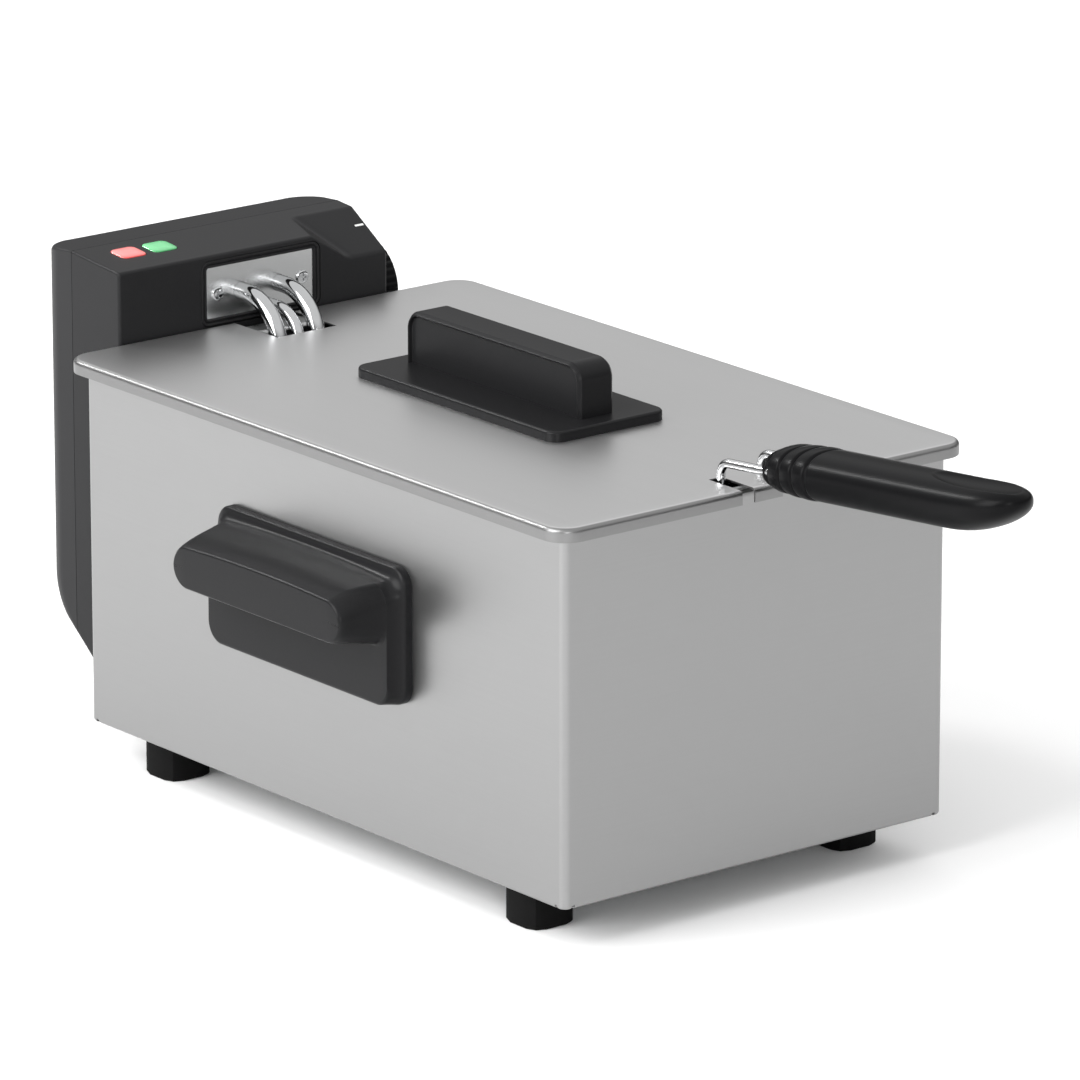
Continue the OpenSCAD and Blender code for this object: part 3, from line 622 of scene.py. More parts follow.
def lid_handle():
    """Lid handle: a flat base with a rounded edge, and a grip whose profile runs from one recessed side
    panel over the rim, the chamfer and the flat top to the other, carried round its side view."""
    low, high = span("lid_handle_base")
    profile = [(0, low[2])] + [(0, high[2] - 1.5)] + edge_round(1.3, 0, high[2], 6)
    base = mesh_object("lid_handle_base_moulded", [surface(carried(high[0], high[1], 6.0, profile))])
    finished(base, handle_plastic, "lid", "handle_black", "lid_handle_base")
    low, high = span("lid_handle_grip")
    half_w, sink, rim, chamfer = high[0], 1.8, 2.2, 1.5
    side = [(rim + 0.5, half_w - sink), (rim + 0.15, half_w - sink + 0.12), (rim, half_w - sink + 0.5),
            (rim - 0.15, half_w - 0.35), (rim - 0.5, half_w), (chamfer, half_w),
            (chamfer - 0.25, half_w - 0.12), (0.25, half_w - chamfer + 0.1), (0, half_w - chamfer - 0.4)]
    profile = [(u, -x) for u, x in side] + [(u, x) for u, x in side[::-1]]
    hidden = rim + 0.5
    half_z = (high[2] - low[2] + hidden) / 2
    grid = carried(high[1], half_z, 8.0, profile, middle=high[2] - half_z, corner=12, square=(2, 3))
    placed = np.stack([grid[..., 2], grid[..., 0], grid[..., 1]], -1)
    grip = mesh_object("lid_handle_grip_moulded", [surface(placed)])
    finished(grip, handle_plastic, "lid", "handle_black", "lid_handle_grip", sharp=50)


# ---------- basket and its handle ----------

WIRES = span("handle_wires")
WIRE_R = 2.0
WIRE_X = WIRES[1][0] - WIRE_R
LEG_Y = WIRES[1][1] - WIRE_R
BEND_R = 6.0
SLOPE = math.radians(5)
BEND_Z = LID_TOP + 2.1
RUN = np.array([0, LEG_Y - BEND_R * (1 - math.sin(SLOPE)), BEND_Z + BEND_R * math.cos(SLOPE)])
ALONG = np.array([0, -math.cos(SLOPE), math.sin(SLOPE)])
ABOVE = np.array([0, math.sin(SLOPE), math.cos(SLOPE)])
GRIP_START = 17.0
GRIP_LENGTH = 149.0


def handle_wires():
    """Two wires: up out of their sleeves, over in a tight bend and on into the grip."""
    inside = 30.0
    corner = np.array([0, LEG_Y, BEND_Z + BEND_R * math.tan(math.pi / 4 + SLOPE / 2)])
    corner[2] = RUN[2] - (LEG_Y - RUN[1]) * math.tan(SLOPE)
    parts = []
    for side in (-1, 1):
        x = np.array([side * WIRE_X, 0, 0])
        foot = np.array([0, LEG_Y, WIRES[0][2]])
        path = route([foot + x, corner + x, RUN + ALONG * (GRIP_START + inside) + x], [0, BEND_R, 0], 16)
        parts.append(tube(path, WIRE_R, 24))
    piece("handle_wires_drawn", parts, bright_wire, "basket_handle", "bright_steel", "handle_wires")


def basket_grip():
    """Basket grip. A section is an oval with its corners filled out; half width and half height follow
    the length in formulas: a blunt domed start, four rounded ribs parted by grooves, a long smooth body,
    and a tip whose underside curves up. An ellipsoid is hollowed out of the top for the thumb."""
    half_w, half_h, sides, length = 14.0, 10.2, 128, GRIP_LENGTH
    start = 20 * (1 - np.cos(np.linspace(0, math.pi / 2, 20)))
    t = np.unique(np.concatenate([start, np.linspace(4, 40, 121), np.linspace(40, length - 20, 120),
                                  length - start]).round(4))[:, None]
    front_dome = np.sqrt(np.clip(1 - (1 - np.clip(t / 7.0, 0, 1)) ** 2, 0, 1))
    low_dome = np.sqrt(np.clip(1 - (1 - np.clip(t / 12.0, 0, 1)) ** 2, 0, 1))
    back = np.clip((t - (length - 40)) / 40, 0, 1)
    side_back = np.clip((t - (length - 26)) / 26, 0, 1)
    width = half_w * front_dome * (0.90 + 0.10 * ramp(t, 2, 28)) * np.sqrt(1 - side_back ** 2.6)
    height = half_h * low_dome * (0.88 + 0.12 * ramp(t, 2, 28)) * np.sqrt(1 - back ** 2.4)
    lift = 4.6 * back ** 2
    grooves = sum(np.exp(-((t - centre) / 0.7) ** 2) for centre in (8.0, 16.2, 24.4, 32.6))
    swell = 0.3 * np.abs(np.sin(np.pi * (t - 8.0) / 8.2)) * (t > 8.0) * (t < 32.6)
    shrink = 0.8 * grooves - swell
    angle = np.arange(sides)[None, :] * 2 * math.pi / sides
    fill = 0.86
    across = (width - shrink * front_dome) * np.sign(np.cos(angle)) * np.abs(np.cos(angle)) ** fill
    up = lift + (height - shrink * low_dome) * np.sign(np.sin(angle)) * np.abs(np.sin(angle)) ** fill
    hollow_w, hollow_l, hollow_d = 9.6, 29.0, 4.4
    room = 1 - (across / hollow_w) ** 2 - ((t - (length - 24)) / hollow_l) ** 2
    hollow = half_h + 1.0 - hollow_d * np.sqrt(np.clip(room, 0, 1))
    up = np.where((up > lift) & (room > 0), smooth_min(up, hollow, 0.6), up)
    grid = RUN + ALONG * GRIP_START + t[..., None] * ALONG + up[..., None] * ABOVE
    grid[..., 0] = across
    piece("handle_grip_moulded", [surface(grid)],
          grip_plastic, "basket_handle", "grip_black", "handle_grip", sharp=60)


BASKET = span("basket_mesh")
WEAVE_R = 0.6
PITCH = 7.2


def corner_room(along, end, radius):
    """How far a rounded corner draws a wall in, at a place near the end of that wall."""
    into = np.clip(np.abs(along) - (end - radius), 0, radius)
    return radius - np.sqrt(radius ** 2 - into ** 2)


def hoop(half_x, half_y, z, radius, steps, wire_r, sides):
    """A wire round the basket with rounded corners."""
    middle = (BASKET[0][1] + BASKET[1][1]) / 2
    corners = [(half_x, half_y), (-half_x, half_y), (-half_x, -half_y), (half_x, -half_y)]
    line = route([(x, y + middle, z) for x, y in corners], [radius] * 4, steps, closed=True)
    return tube(line, wire_r, sides, closed=True)


def basket_weave():
    """Woven wire basket. Wires across and along the bottom turn up the walls, round hoops cross them, and
    each wire passes over and under its neighbours in a wave as high as the wire."""
    low, high = BASKET
    middle = (low[1] + high[1]) / 2
    half_x, half_y = high[0] - 1.2, (high[1] - low[1]) / 2 - 1.2
    radius, floor_bend = 13.0, 8.0
    floor, top = low[2] + 1.2, high[2] + 1.0
    bottom_parts = []

    def upright(half, place, axis):
        """One wire: down a wall, under the food and up the other wall."""
        corners = [(-half, top), (-half, floor), (half, floor), (half, top)]
        flat = route([(u, 0, z) for u, z in corners], [0, floor_bend, floor_bend, 0], 6)
        gaps = np.linalg.norm(np.diff(flat, axis=0), axis=1)
        run = np.concatenate([[0], np.cumsum(gaps)])
        s = np.linspace(0, run[-1], int(run[-1] / PITCH * 3))
        u, z = np.interp(s, run, flat[:, 0]), np.interp(s, run, flat[:, 2])
        wave = WEAVE_R * 0.8 * np.cos(s / PITCH * math.pi) * (1 if round(place / PITCH) % 2 else -1)
        on_floor = ramp(z, floor + floor_bend, floor)
        z = z + wave * on_floor
        u = u + wave * (1 - on_floor) * np.sign(u)
        points = [u, place + 0 * s] if axis == 0 else [place + 0 * s, u]
        return tube(np.stack([points[0], points[1] + middle, z], -1), WEAVE_R, 6)

    for place in np.arange(-math.floor(half_y / PITCH), math.floor(half_y / PITCH) + 1) * PITCH:
        half = half_x - corner_room(place, half_y, radius)
        bottom_parts.append(upright(half, place, 0))
    for place in np.arange(-math.floor(half_x / PITCH), math.floor(half_x / PITCH) + 1) * PITCH:
        half = half_y - corner_room(place, half_x, radius)
        bottom_parts.append(upright(half, place, 1))
    levels = np.arange(floor + floor_bend, top - 2, PITCH)
    hoops = [hoop(half_x, half_y, z, radius, 12, WEAVE_R, 6) for z in levels]
    piece("basket_weave", bottom_parts, basket_wire, "basket", "basket_wire", "basket_mesh", sharp=80)
    piece("basket_hoops", hoops, basket_wire, "basket", "basket_wire", sharp=80)


def basket_rim():
    """Rim wire round the basket's top and two straps under it, all of round wire."""
    low, high = span("basket_frame")
    rim_r, strap_r = 2.0, 1.5
    z = high[2] - rim_r
    half_x, middle = BASKET[1][0] - 0.6, (BASKET[0][1] + BASKET[1][1]) / 2
    half_y = (BASKET[1][1] - BASKET[0][1]) / 2 - 0.6
    parts = [hoop(half_x, half_y, z, 14.0, 14, rim_r, 20)]
    out, under = high[0] - strap_r, low[2] + strap_r
    for y in (middle - 70, middle + 70):
        path = route([(-out, y, z), (-out, y, under), (out, y, under), (out, y, z)], [0, 6, 6, 0], 8)
        parts.append(tube(path, strap_r, 16))
    piece("basket_rim_and_straps", parts, bright_wire, "basket", "basket_wire", "basket_frame")


# ---------- control head ----------

HEAD_FRONT = span("head_front_shell")
HEAD_REAR = span("head_rear_cover")
FACE_Y = span("element_bezel")[0][1]  # the front moulding's own box starts at its two ribs
SPLIT_Y = HEAD_FRONT[1][1]
BACK_Y = HEAD_REAR[1][1]
HEAD_LEFT, HEAD_RIGHT = HEAD_FRONT[0][0], HEAD_FRONT[1][0]
HEAD_LOW = HEAD_FRONT[0][2]
PANEL_TILT = math.tan(math.radians(5))
PANEL_FRONT = HEAD_FRONT[1][2] - (SPLIT_Y - FACE_Y) * PANEL_TILT
REAR_FALL = 0.07
PLAN_R = 15.0
FRONT_R = 1.4


def panel_height(y):
    """The lamp panel climbs to the parting line, and the rear strip falls a little behind it."""
    climb = (np.minimum(y, SPLIT_Y) - FACE_Y) * PANEL_TILT
    return PANEL_FRONT + climb - np.maximum(y - SPLIT_Y, 0) * REAR_FALL


def scoop_height(x, y):
    """The hollow above the knob: a floor that climbs to the rear and an end that leans to the left, with
    a wide round between them."""
    floor = PANEL_FRONT - 13.0 + (y - FACE_Y) * math.tan(math.radians(31.5))
    end = PANEL_FRONT - 0.645 * (x - HEAD_RIGHT + 41) + 0.283 * (y - FACE_Y)
    return smooth_max(floor, end, 2.6)


def rolled(distance, radius):
    """Drop of a rounded edge at a distance in from it."""
    into = np.clip(radius - distance, 0, radius)
    return radius - np.sqrt(np.clip(radius ** 2 - into ** 2, 0, None))


def head_skin(inset=0.0):
    """The head's skin, moved in by inset: a top over its plan, and a wall that goes down from the top's
    rim and draws in to the slanted underside. The plan has small front corners and large rear ones."""
    left, right = HEAD_LEFT + inset, HEAD_RIGHT - inset
    face, rear, low = FACE_Y + inset, BACK_Y - inset, HEAD_LOW + inset
    plan_r, front_corner = PLAN_R - inset, FRONT_R if inset == 0 else 0.3
    depth = BACK_Y - FACE_Y - 2 * inset
    steps = plan_r * (1 - np.cos(np.linspace(0, math.pi / 2, 14)))
    near = np.concatenate([steps, [0.06, 0.2, 0.42, 0.72, 1.05, 1.4]])
    x = np.unique(np.concatenate([left + near, np.arange(-60, 20, 8.0), np.arange(20, right - 1.4, 0.8),
                                  right - near]).round(3))[:, None]
    y_steps = np.unique(np.concatenate([
        [0, 0.06, 0.22, 0.48, 0.8, 1.2, 1.6], np.arange(2.4, 35.5, 0.8), np.arange(36, depth - 5, 2.5),
        depth - 4.8 * (1 - np.cos(np.linspace(0, math.pi / 2, 9)))]).round(3))
    side_gap = np.minimum(x - left, right - x)
    front = face + rolled(side_gap, front_corner)
    y = front + (rear - rolled(side_gap, plan_r) - front) * y_steps / depth
    turn_y = rear - plan_r
    in_corner = (side_gap < plan_r) & (y > turn_y)
    reach = np.hypot(plan_r - side_gap, y - turn_y)
    bearing = np.arctan2(y - turn_y, np.maximum(plan_r - side_gap, 1e-6)) / (math.pi / 2)
    side_r, rear_r = 1.2, 4.5
    distance = np.where(in_corner, plan_r - reach, np.where(y > turn_y, rear - y, side_gap + 0 * y))
    radius = np.where(y > turn_y, rear_r, side_r)
    radius = np.where(in_corner, side_r + (rear_r - side_r) * bearing, radius)
    top = smooth_min(panel_height(y) - inset, scoop_height(x, y) - 1.2 * inset, 0.5)
    z = top - rolled(np.maximum(distance, 0), radius) - rolled(y - front, 1.5)
    grid = np.stack([x + 0 * y, y, z], -1)
    rim = rim_of(grid)
    corners = [(0, face, low), (0, FACE_Y + 18 - 0.29 * inset, low),
               (0, rear, HEAD_LOW + 27 + 0.54 * inset), (0, rear, HEAD_LOW + 80)]
    line = route(corners, [0, 5.0, 24.0 - inset, 0], 14)[1:-1]
    edge = 1.2
    last_rows = low + edge * np.array([0.5, 0.15, 0])
    rows_z = np.append(np.linspace(line[-1, 2], low + edge, 36), last_rows)[:, None]
    share = (np.interp(rows_z, line[:, 2], line[:, 1]) - face) / depth
    tuck = edge - np.sqrt(edge ** 2 - (edge - np.clip(rows_z - low, 0, edge)) ** 2)
    middle_x, half_x = (left + right) / 2, (right - left) / 2
    wall_x = middle_x + (rim[:, 0] - middle_x) * (1 - tuck / half_x)
    wall_y = face + tuck + (rim[:, 1] - face) * share * (1 - tuck / 40)
    wall = np.stack([wall_x, wall_y, rows_z + 0 * wall_x], -1)
    return topped(grid, np.concatenate([rim[None], wall]))


LENSES = {"red_lamp_lens": "red", "green_lamp_lens": "green"}


def drilled(middle, aim, size, deep, sides=32):
    """A round knife through a wall."""
    return surface(aimed(turned([(size, -deep), (size, deep)], sides), aim, middle))


def head():
    """The head's two mouldings. One skin is taken out of another for the wall, and each half loses the
    other side of the parting line and gets its openings."""
    wall, parting, far = 2.5, 0.14, 30
    left, right, under, over = HEAD_LEFT - far, HEAD_RIGHT + far, HEAD_LOW - far, PANEL_FRONT + far
    shell = cut(mesh_object("head_front_moulded", head_skin()), head_skin(wall))
    ribs, rib_out, rib_half = [], 24.8, 1.2
    bracket = span("head_bracket")
    for side in (-1, 1):
        rib = sum(bracket)[0] / 2 + side * rib_out
        ribs.append(block([rib - rib_half, HEAD_FRONT[0][1], bracket[0][2] + 1.7],
                          [rib + rib_half, FACE_Y + 1, bracket[1][2] - 5]))
    half = linked("head_rear_moulded", shell.data.copy())
    holes = [block([left, SPLIT_Y - parting, under], [right, BACK_Y + far, over])]
    for node in LENSES:
        middle = centre_of(node)
        hole = stack([(6.6, 6.15, 3.1, middle[1], middle[2] + h) for h in (-12, 12)], 6)
        holes.append(surface(hole + [middle[0], 0, 0]))
    low, high = span("element_bezel")
    opening, frame_spot = (high - low) / 2 + 0.1, (high + low) / 2
    frame_hole = stack([(opening[0], opening[2], 4.5, 0, h) for h in (-6, 3)], 8)
    holes.append(surface(aimed(frame_hole, "-y", [frame_spot[0], FACE_Y, frame_spot[2]])))
    knob_spot = centre_of("thermostat_knob")
    holes.append(drilled([HEAD_RIGHT, knob_spot[1], knob_spot[2]], "+x", 4.5, 6))
    plunger = centre_of("interlock_plunger")
    holes.append(drilled([plunger[0], FACE_Y, plunger[2]], "-y", 2.1, 6))
    cut(shell, holes)
    cut(shell, ribs, "UNION")
    finished(shell, head_plastic, "head", "head_black", "head_front_shell", sharp=30)
    holes = [block([left, FACE_Y - far, under], [right, SPLIT_Y + parting, over])]
    for node, size in (("cord_gland", 6.05), ("reset_button", 4.1)):
        middle = centre_of(node)
        holes.append(drilled([middle[0], BACK_Y, middle[2]], "+y", size, 8, 40))
    for spot in corner_spots("cover_screws", 3.1, (0, 2))[0]:
        holes.append(drilled([spot[0], BACK_Y, spot[2]], "+y", 3.2, 8))
    cut(half, holes)
    finished(half, cover_plastic, "head", "cover_black", "head_rear_cover", sharp=30)


def bezel():
    """Frame round the element plate: two rounded ridges with a groove between them."""
    low, high = span("element_bezel")
    half, middle = (high - low) / 2, (high + low) / 2
    profile = [(0, -2.5), (0, -0.7), (0.25, -0.15), (0.7, 0.1), (1.2, 0), (1.5, -0.4), (1.7, -0.75),
               (2.0, -0.8), (2.2, -0.5), (2.4, -0.15), (2.7, 0), (3.0, -0.1), (3.3, -0.5), (3.45, -1.1),
               (3.45, -2.5)]
    grid = carried(half[0], half[2], 4.4, profile, corner=8)
    ring = aimed(grid, "-y", [middle[0], FACE_Y, middle[2]])
    piece("element_bezel_moulded", [surface(np.concatenate([ring, ring[:1]]), ends=False)],
          head_plastic, "head", "head_black", "element_bezel", sharp=50)


def lamps():
    """Two domed lenses that follow the panel's slope, one red and one green."""
    tints = {"red": ("#ff8582", "#c8211c"), "green": ("#64c582", "#0f7a3a")}
    for node, word in LENSES.items():
        low, high = span(node)
        middle = (low + high) / 2
        profile = [(0, -3.0), (0, -0.15), (0.08, 0.12), (0.3, 0.35), (0.8, 0.5), (2.0, 0.62), (4.0, 0.7)]
        grid = carried(6.45, 6.0, 3.0, profile, corner=8) + [middle[0], middle[1], 0]
        grid[..., 2] += panel_height(grid[..., 1])
        made = mesh_object(word + "_lens_domed", [surface(grid)])
        top = panel_height(middle[1]) + 0.7
        tint = lens_plastic(word + "_lamp_acrylic", *tints[word], top)
        finished(made, tint, "head", word + "_lens", node, sharp=60)


def index_mark():
    """White line printed on the hollow's floor, over the knob."""
    x = np.linspace(HEAD_RIGHT - 6.2, HEAD_RIGHT - 1.6, 9)[:, None]
    y = FACE_Y + 14.9 + np.array([-0.45, 0.45])[None, :]
    above = smooth_min(panel_height(y), scoop_height(x, y), 0.5)
    grid = np.stack([x + 0 * y, y + 0 * x, above + 0.05], -1)
    under = grid - [0, 0, 0.25]
    piece("index_mark", [surface(np.stack([under[:, 0], under[:, 1], grid[:, 1], grid[:, 0]], 1))],
          white_ink, "head", "head_black", sharp=60)


def knob():
    """Thermostat knob: a disc with a ribbed rim, whose radius swings in and out with the angle, and a
    raised bar across its face to turn it by."""
    low, high = span("thermostat_knob")
    middle = (low + high) / 2
    radius, ribs, per_rib = (high[2] - low[2]) / 2, 40, 8
    base, top = low[0] - HEAD_RIGHT, high[0] - HEAD_RIGHT
    face = top - 2.2
    profile = [(3.1, base), (radius - 1.2, base), (radius - 0.3, base + 0.4), (radius, base + 1.2),
               (radius - 0.2, face - 1.2), (radius - 0.6, face - 0.5), (radius - 1.3, face),
               (radius - 2.2, face + 0.05), (radius - 2.6, face - 0.25), (0.4, face - 0.25)]
    grid = turned(profile, ribs * per_rib)
    angle = np.arange(ribs * per_rib) * 2 * math.pi / (ribs * per_rib)
    depth = 0.55 * (0.5 - 0.5 * np.cos(angle * ribs)) ** 1.5
    weight = np.array([0, 0.6, 1, 1, 1, 0.7, 0, 0, 0, 0])[:, None]
    scale = 1 - weight * depth / radius
    grid[..., :2] *= scale[..., None]
    bar_profile = [(0, face - 0.6), (0, top - 0.8)] + edge_round(0.8, 0, top, 4)
    bar = carried(2.6, 11.0, 2.6, bar_profile, corner=8)
    spot = [HEAD_RIGHT, middle[1], middle[2]]
    parts = [surface(aimed(grid, "+x", spot)), surface(aimed(bar, "+x", spot))]
    piece("thermostat_knob_moulded", parts,
          grip_plastic, "knob", "grip_black", "thermostat_knob", sharp=50)
    for number, turn in (("130", 240), ("150", 180), ("170", 120), ("190", 60)):
        text = bpy.data.curves.new("scale_" + number, "FONT")
        text.body = number
        text.size = 2.6 * MM
        text.extrude = 0.06 * MM
        text.align_x = "CENTER"
        text.align_y = "CENTER"
        spot = [HEAD_RIGHT + face - 0.2, middle[1], middle[2]]
        settle_text(linked("scale_" + number, text), radius - 5.0, math.radians(turn), spot)


def settle_text(lettering, reach, turn, spot):
    """Turns a number into a mesh, swings it round the dial so that its top points outwards, and sets it
    on the knob's face."""
    bpy.context.view_layer.update()
    ready = lettering.evaluated_get(bpy.context.evaluated_depsgraph_get())
    mesh = bpy.data.meshes.new_from_object(ready)
    name = lettering.name
    bpy.data.objects.remove(lettering)
    flat = np.empty(len(mesh.vertices) * 3)
    mesh.vertices.foreach_get("co", flat)
    flat = flat.reshape(-1, 3) / MM
    flat[:, 1] += reach
    swung = flat.copy()
    swung[:, 0] = flat[:, 0] * math.cos(turn) - flat[:, 1] * math.sin(turn)
    swung[:, 1] = flat[:, 0] * math.sin(turn) + flat[:, 1] * math.cos(turn)
    place = aimed(swung, "+x", spot) * MM + MIDDLE
    mesh.vertices.foreach_set("co", place.reshape(-1))
    finished(linked(name, mesh), white_ink, "knob", "grip_black", sharp=30)


# ---------- heating loop ----------

PLATE = span("element_plate")
PLATE_X = (PLATE[0][0] + PLATE[1][0]) / 2
LOOP = span("heating_element")
TUBE_R = 3.75
DROP_R = 24.0


def heating_loop():
    """The loop as one line with rounded corners: out of the plate, down into the pan, round its floor in
    two legs a side that meet in the middle, and back up as its mirror image."""
    leg, inner, outer = 10.2, 17.0, 51.0
    top, low = LOOP[1][2] - TUBE_R, LOOP[0][2] + TUBE_R
    front, rear, drop = LOOP[0][1] + TUBE_R, 92.0, 141.0
    middle_rear = 71.0
    end = LOOP[1][1]
    half = [(leg, end, top), (leg, drop, top), (leg, drop, low), (leg, rear, low), (outer, rear, low),
            (outer, front, low), (inner, front, low), (inner, middle_rear, low)]
    bends = [0, DROP_R, 12.0, 11.9, 12.0, 16.9, 16.9, 16.9]
    right = [(PLATE_X + x, y, z) for x, y, z in half]
    left = [(PLATE_X - x, y, z) for x, y, z in half[::-1]]
    path = route(right + left, bends + bends[::-1], 14)
    piece("heating_loop", [tube(path, TUBE_R, 28)],
          sheath, "head", "heater_tube", "heating_element", sharp=60)


def sensor_guide():
    """Guide tube of the sensor beside the loop's legs, and the copper bulb that follows it down."""
    low, high = span("capillary_tube")
    radius, bend, drop = 2.9, 16.0, 141.0
    top = high[2] - radius
    corners = [(PLATE_X, high[1], top), (PLATE_X, drop, top), (PLATE_X, drop, low[2])]
    path = route(corners, [0, bend, 0], 16)
    piece("sensor_guide_tube", [tube(path, radius, 24)],
          sheath, "head", "bright_steel", "capillary_tube", sharp=60)
    bulb_low, bulb_r = span("sensor_bulb")[0], 3.0
    floor = bulb_low[2] + bulb_r
    corners = [(PLATE_X, drop, low[2]), (PLATE_X, drop, floor), (PLATE_X, bulb_low[1], floor)]
    path = route(corners, [0, 14.0, 0], 14)
    piece("sensor_bulb_drawn", [tube(path, bulb_r, 20)],
          copper, "head", "copper_bulb", "sensor_bulb", sharp=60)


# ---------- fasteners ----------


def cross_screw(head_r, head_h, shaft_r, shaft_l, aim, spot):
    """A pan-head screw with a cross recess. Its top is a square grid bent into a disc, so that the
    recess follows grid lines; its rim and shaft are rings below that."""
    marks = np.array([0.0, 0.11, 0.16, 0.35, 0.55, 0.62, 0.82, 0.95, 1.0])
    marks = np.concatenate([-marks[:0:-1], marks])
    u, v = np.meshgrid(marks, marks, indexing="ij")
    x, y = u * np.sqrt(1 - v ** 2 / 2), v * np.sqrt(1 - u ** 2 / 2)
    far = np.clip(np.hypot(x, y), 0, 1)
    dome = head_h * (0.62 + 0.38 * np.sqrt(1 - far ** 2))
    arm = np.minimum(np.abs(u), np.abs(v)) < 0.12
    short = np.maximum(np.abs(u), np.abs(v)) < 0.56
    z = dome - 0.55 * head_h * (arm & short)
    top = np.stack([x * head_r, y * head_r, z], -1)
    rim = rim_of(top)
    rows = np.stack([rim * [s, s, 0] + [0, 0, h] for s, h in
                     [(1, 0.62 * head_h), (1, 0), (shaft_r / head_r, 0), (shaft_r / head_r, -shaft_l)]])
    return topped(aimed(top, aim, spot), aimed(rows, aim, spot))


def corner_spots(node, inset, axes):
    """Middles of a node's four fasteners, which stand in the corners of its box on two axes."""
    low, high = span(node)
    first, second = axes
    spots = []
    for a in (low[first] + inset, high[first] - inset):
        for b in (low[second] + inset, high[second] - inset):
            spots.append({first: a, second: b})
    return spots, low, high


def screw_group(node, spots, size, aim, finish, body):
    """One object with a screw at each spot. size is head radius and height, shaft radius and length."""
    parts = [part for spot in spots for part in cross_screw(*size, aim, spot)]
    piece(node + "_cross", parts, finish, body, "bright_steel", node, sharp=40)


def screws():
    """All the cross-head screws, group by group."""
    low, high = span("plate_screws")
    spots = [(x, PLATE[0][1], (low[2] + high[2]) / 2) for x in (low[0] + 2.9, high[0] - 2.9)]
    screw_group("plate_screws", spots, (2.9, 1.1, 1.5, 8), "-y", polished, "head")
    corners, low, high = corner_spots("cover_screws", 3.1, (0, 2))
    spots = [(spot[0], high[1] - 2.2, spot[2]) for spot in corners]
    screw_group("cover_screws", spots, (3.0, 2.2, 1.5, 20), "+y", zinc, "head")
    corners, low, high = corner_spots("foot_screws", 3.8, (0, 1))
    spots = [(spot[0], spot[1], low[2] + 2.6) for spot in corners]
    screw_group("foot_screws", spots, (3.8, 2.4, 1.9, 12), "-z", zinc, "housing")
    low, high = span("lid_screws")
    spots = [(0, y, low[2] + 2.2) for y in (low[1] + 4, high[1] - 4)]
    screw_group("lid_screws", spots, (4.0, 2.2, 1.6, 12), "-z", polished, "lid")


def gland_and_button():
    """Cord gland with a rounded collar and an open bore, and the domed reset button."""
    low, high = span("cord_gland")
    middle = (low + high) / 2
    out = high[1] - BACK_Y
    collar, bore, neck = 8.5, 3.5, 6.0
    profile = [(bore, -6), (bore, out - 0.6), (bore + 0.5, out), (collar - 3.2, out),
               (collar - 2.2, out - 0.5), (collar - 1.2, out - 1.6), (collar - 0.4, 1.4), (collar, 0.8),
               (collar, 0), (neck, 0), (neck, -6), (bore, -6)]
    ring = aimed(turned(profile, 48), "+y", [middle[0], BACK_Y, middle[2]])
    piece("cord_gland_moulded", [surface(ring, ends=False)],
          head_plastic, "head", "head_black", "cord_gland", sharp=40)
    low, high = span("reset_button")
    middle = (low + high) / 2
    face = high[1] - BACK_Y
    profile = [(5.5, -5), (5.5, -2.8), (4.0, -2.7), (4.0, face - 0.8), (3.7, face - 0.35),
               (3.0, face - 0.1), (1.4, face)]
    dome = aimed(turned(profile, 40), "+y", [middle[0], BACK_Y, middle[2]])
    piece("reset_button_domed", [surface(dome)],
          red_button, "reset", "red_button", "reset_button", sharp=40)


# ---------- stage ----------


# Soft boxes: place in metres, side in metres and watts. The large one stands off the left, the next
# catches the ends that face the camera, and the last one draws the bright lines along upper edges.
# The room is dark at eye level and bright overhead.
LIGHTS = [
    ("left", (-2.7, 0.2, 1.7), 2.2, 106),
    ("front", (-1.6, -2.8, 1.0), 0.8, 22),
    ("rear", (-1.1, 2.3, 1.95), 0.4, 26),
]
WORLD = 1.08
HORIZON = "#4c4c4c"
CAMERA_SPOT = (-2140, -2711, 1136.5)  # millimetres, like the shapes
LENS, LOOK_DOWN, LOOK_RIGHT = 288.3, 16.44, 38.5  # millimetres and degrees


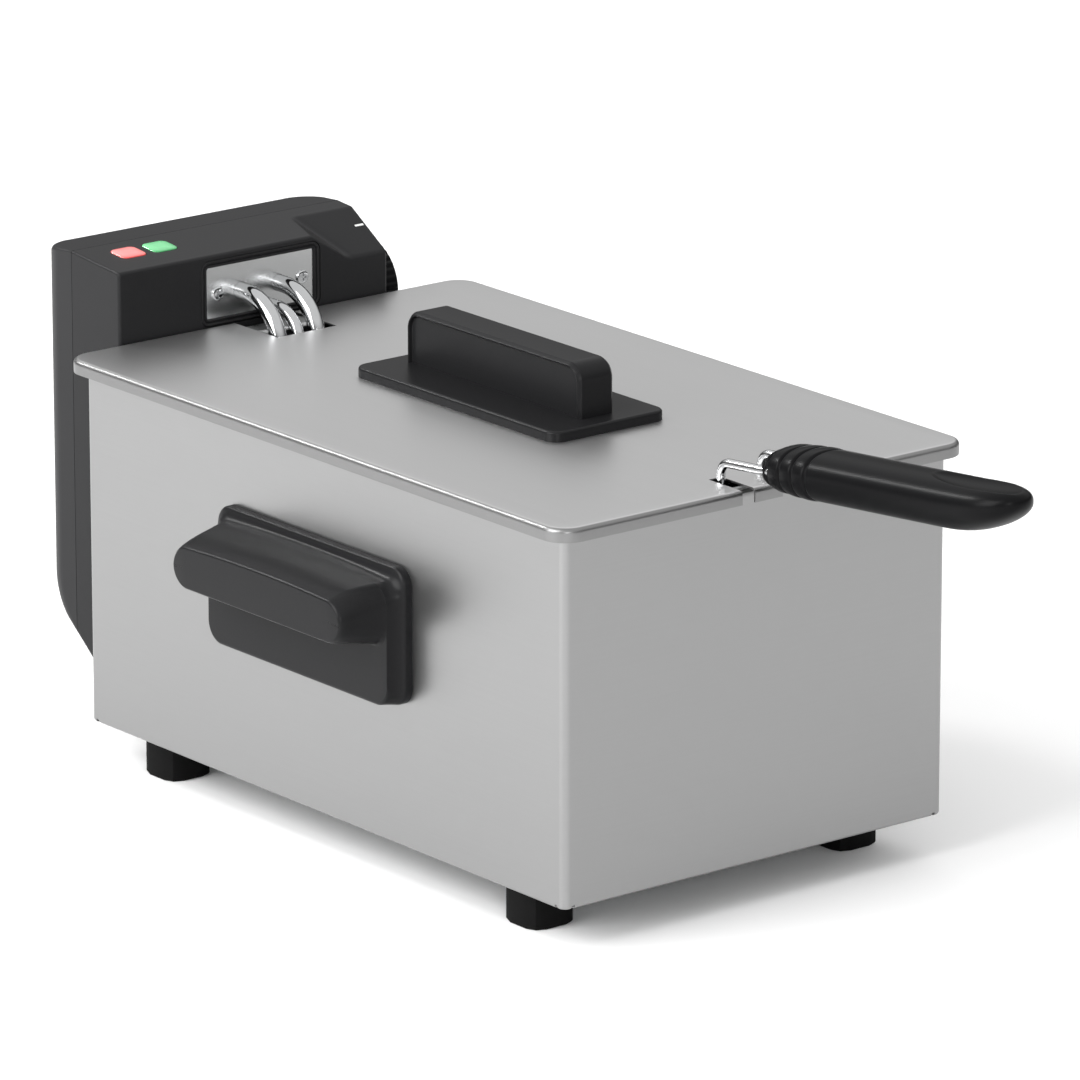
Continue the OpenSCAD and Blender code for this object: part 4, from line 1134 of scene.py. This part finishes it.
def stage():
    """A pale floor, a soft studio round it, and the camera off the front left corner, looking down a
    little through a long lens."""
    half = 6.0
    mesh = bpy.data.meshes.new("floor")
    corners = [(-half, -half, 0), (half, -half, 0), (half, half, 0), (-half, half, 0)]
    mesh.from_pydata(corners, [], [(0, 1, 2, 3)])
    floor = linked("floor", mesh)
    mesh.materials.append(grained("painted_floor", "#fbfbfb", "#fcfcfc", (90, 90, 90), (0.6, 0.7), 0.01,
                                  ior=1.45))
    for name, place, size, power in LIGHTS:
        light = bpy.data.lights.new(name, "AREA")
        light.size = size
        light.energy = power
        lamp = linked(name, light)
        lamp.location = place
        direction = np.array([0, 0, 0.1]) - np.array(place)
        flat = math.hypot(direction[0], direction[1])
        bearing = math.atan2(-direction[0], direction[1])
        lamp.rotation_euler = (math.atan2(flat, -direction[2]), 0, bearing)
    world = bpy.data.worlds.new("studio")
    world.use_nodes = True
    tree = world.node_tree
    background = tree.nodes["Background"]
    background.inputs["Strength"].default_value = WORLD
    place = add(tree, "ShaderNodeTexCoord")
    split = add(tree, "ShaderNodeSeparateXYZ", Vector=place.outputs["Generated"])
    rise = {"From Min": 0.08, "From Max": 0.60, "interpolation_type": "SMOOTHSTEP"}
    climb = add(tree, "ShaderNodeMapRange", rise, Value=split.outputs["Z"])
    sky = add(tree, "ShaderNodeMix", {"data_type": "RGBA", 6: linear(HORIZON), 7: linear("#ffffff")},
              Factor=climb.outputs[0])
    tree.links.new(sky.outputs[2], background.inputs["Color"])
    bpy.context.scene.world = world
    bpy.context.scene.view_settings.view_transform = "Standard"
    lens = bpy.data.cameras.new("camera")
    lens.lens = LENS
    lens.sensor_width = 36
    lens.clip_end = 50
    camera = linked("camera", lens)
    camera.location = np.array(CAMERA_SPOT) * MM + MIDDLE
    camera.rotation_euler = (math.radians(90 - LOOK_DOWN), 0, math.radians(-LOOK_RIGHT))
    bpy.context.scene.camera = camera


# CAD nodes that keep their own shape, and the finish each of them gets.
KEPT = {
    "base_plate": zinc, "handle_screws": zinc, "head_bracket": zinc, "bracket_rivets": polished,
    "element_plate": satin_plate, "element_support": polished, "thermostat_body": phenolic,
    "cutout_switch": phenolic, "interlock_switch": phenolic, "terminal_block": phenolic,
    "lamp_holders": phenolic, "thermostat_shaft": polished, "interlock_plunger": phenolic,
    "handle_socket": bright_wire,
}

stage()
housing()
feet()
side_handle(-1, "left")
side_handle(1, "right")
oil_pan()
lid()
lid_handle()
handle_wires()
basket_grip()
basket_weave()
basket_rim()
head()
bezel()
lamps()
index_mark()
knob()
heating_loop()
sensor_guide()
screws()
gland_and_button()
for node, material in KEPT.items():
    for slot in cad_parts[node].material_slots:
        slot.material = material
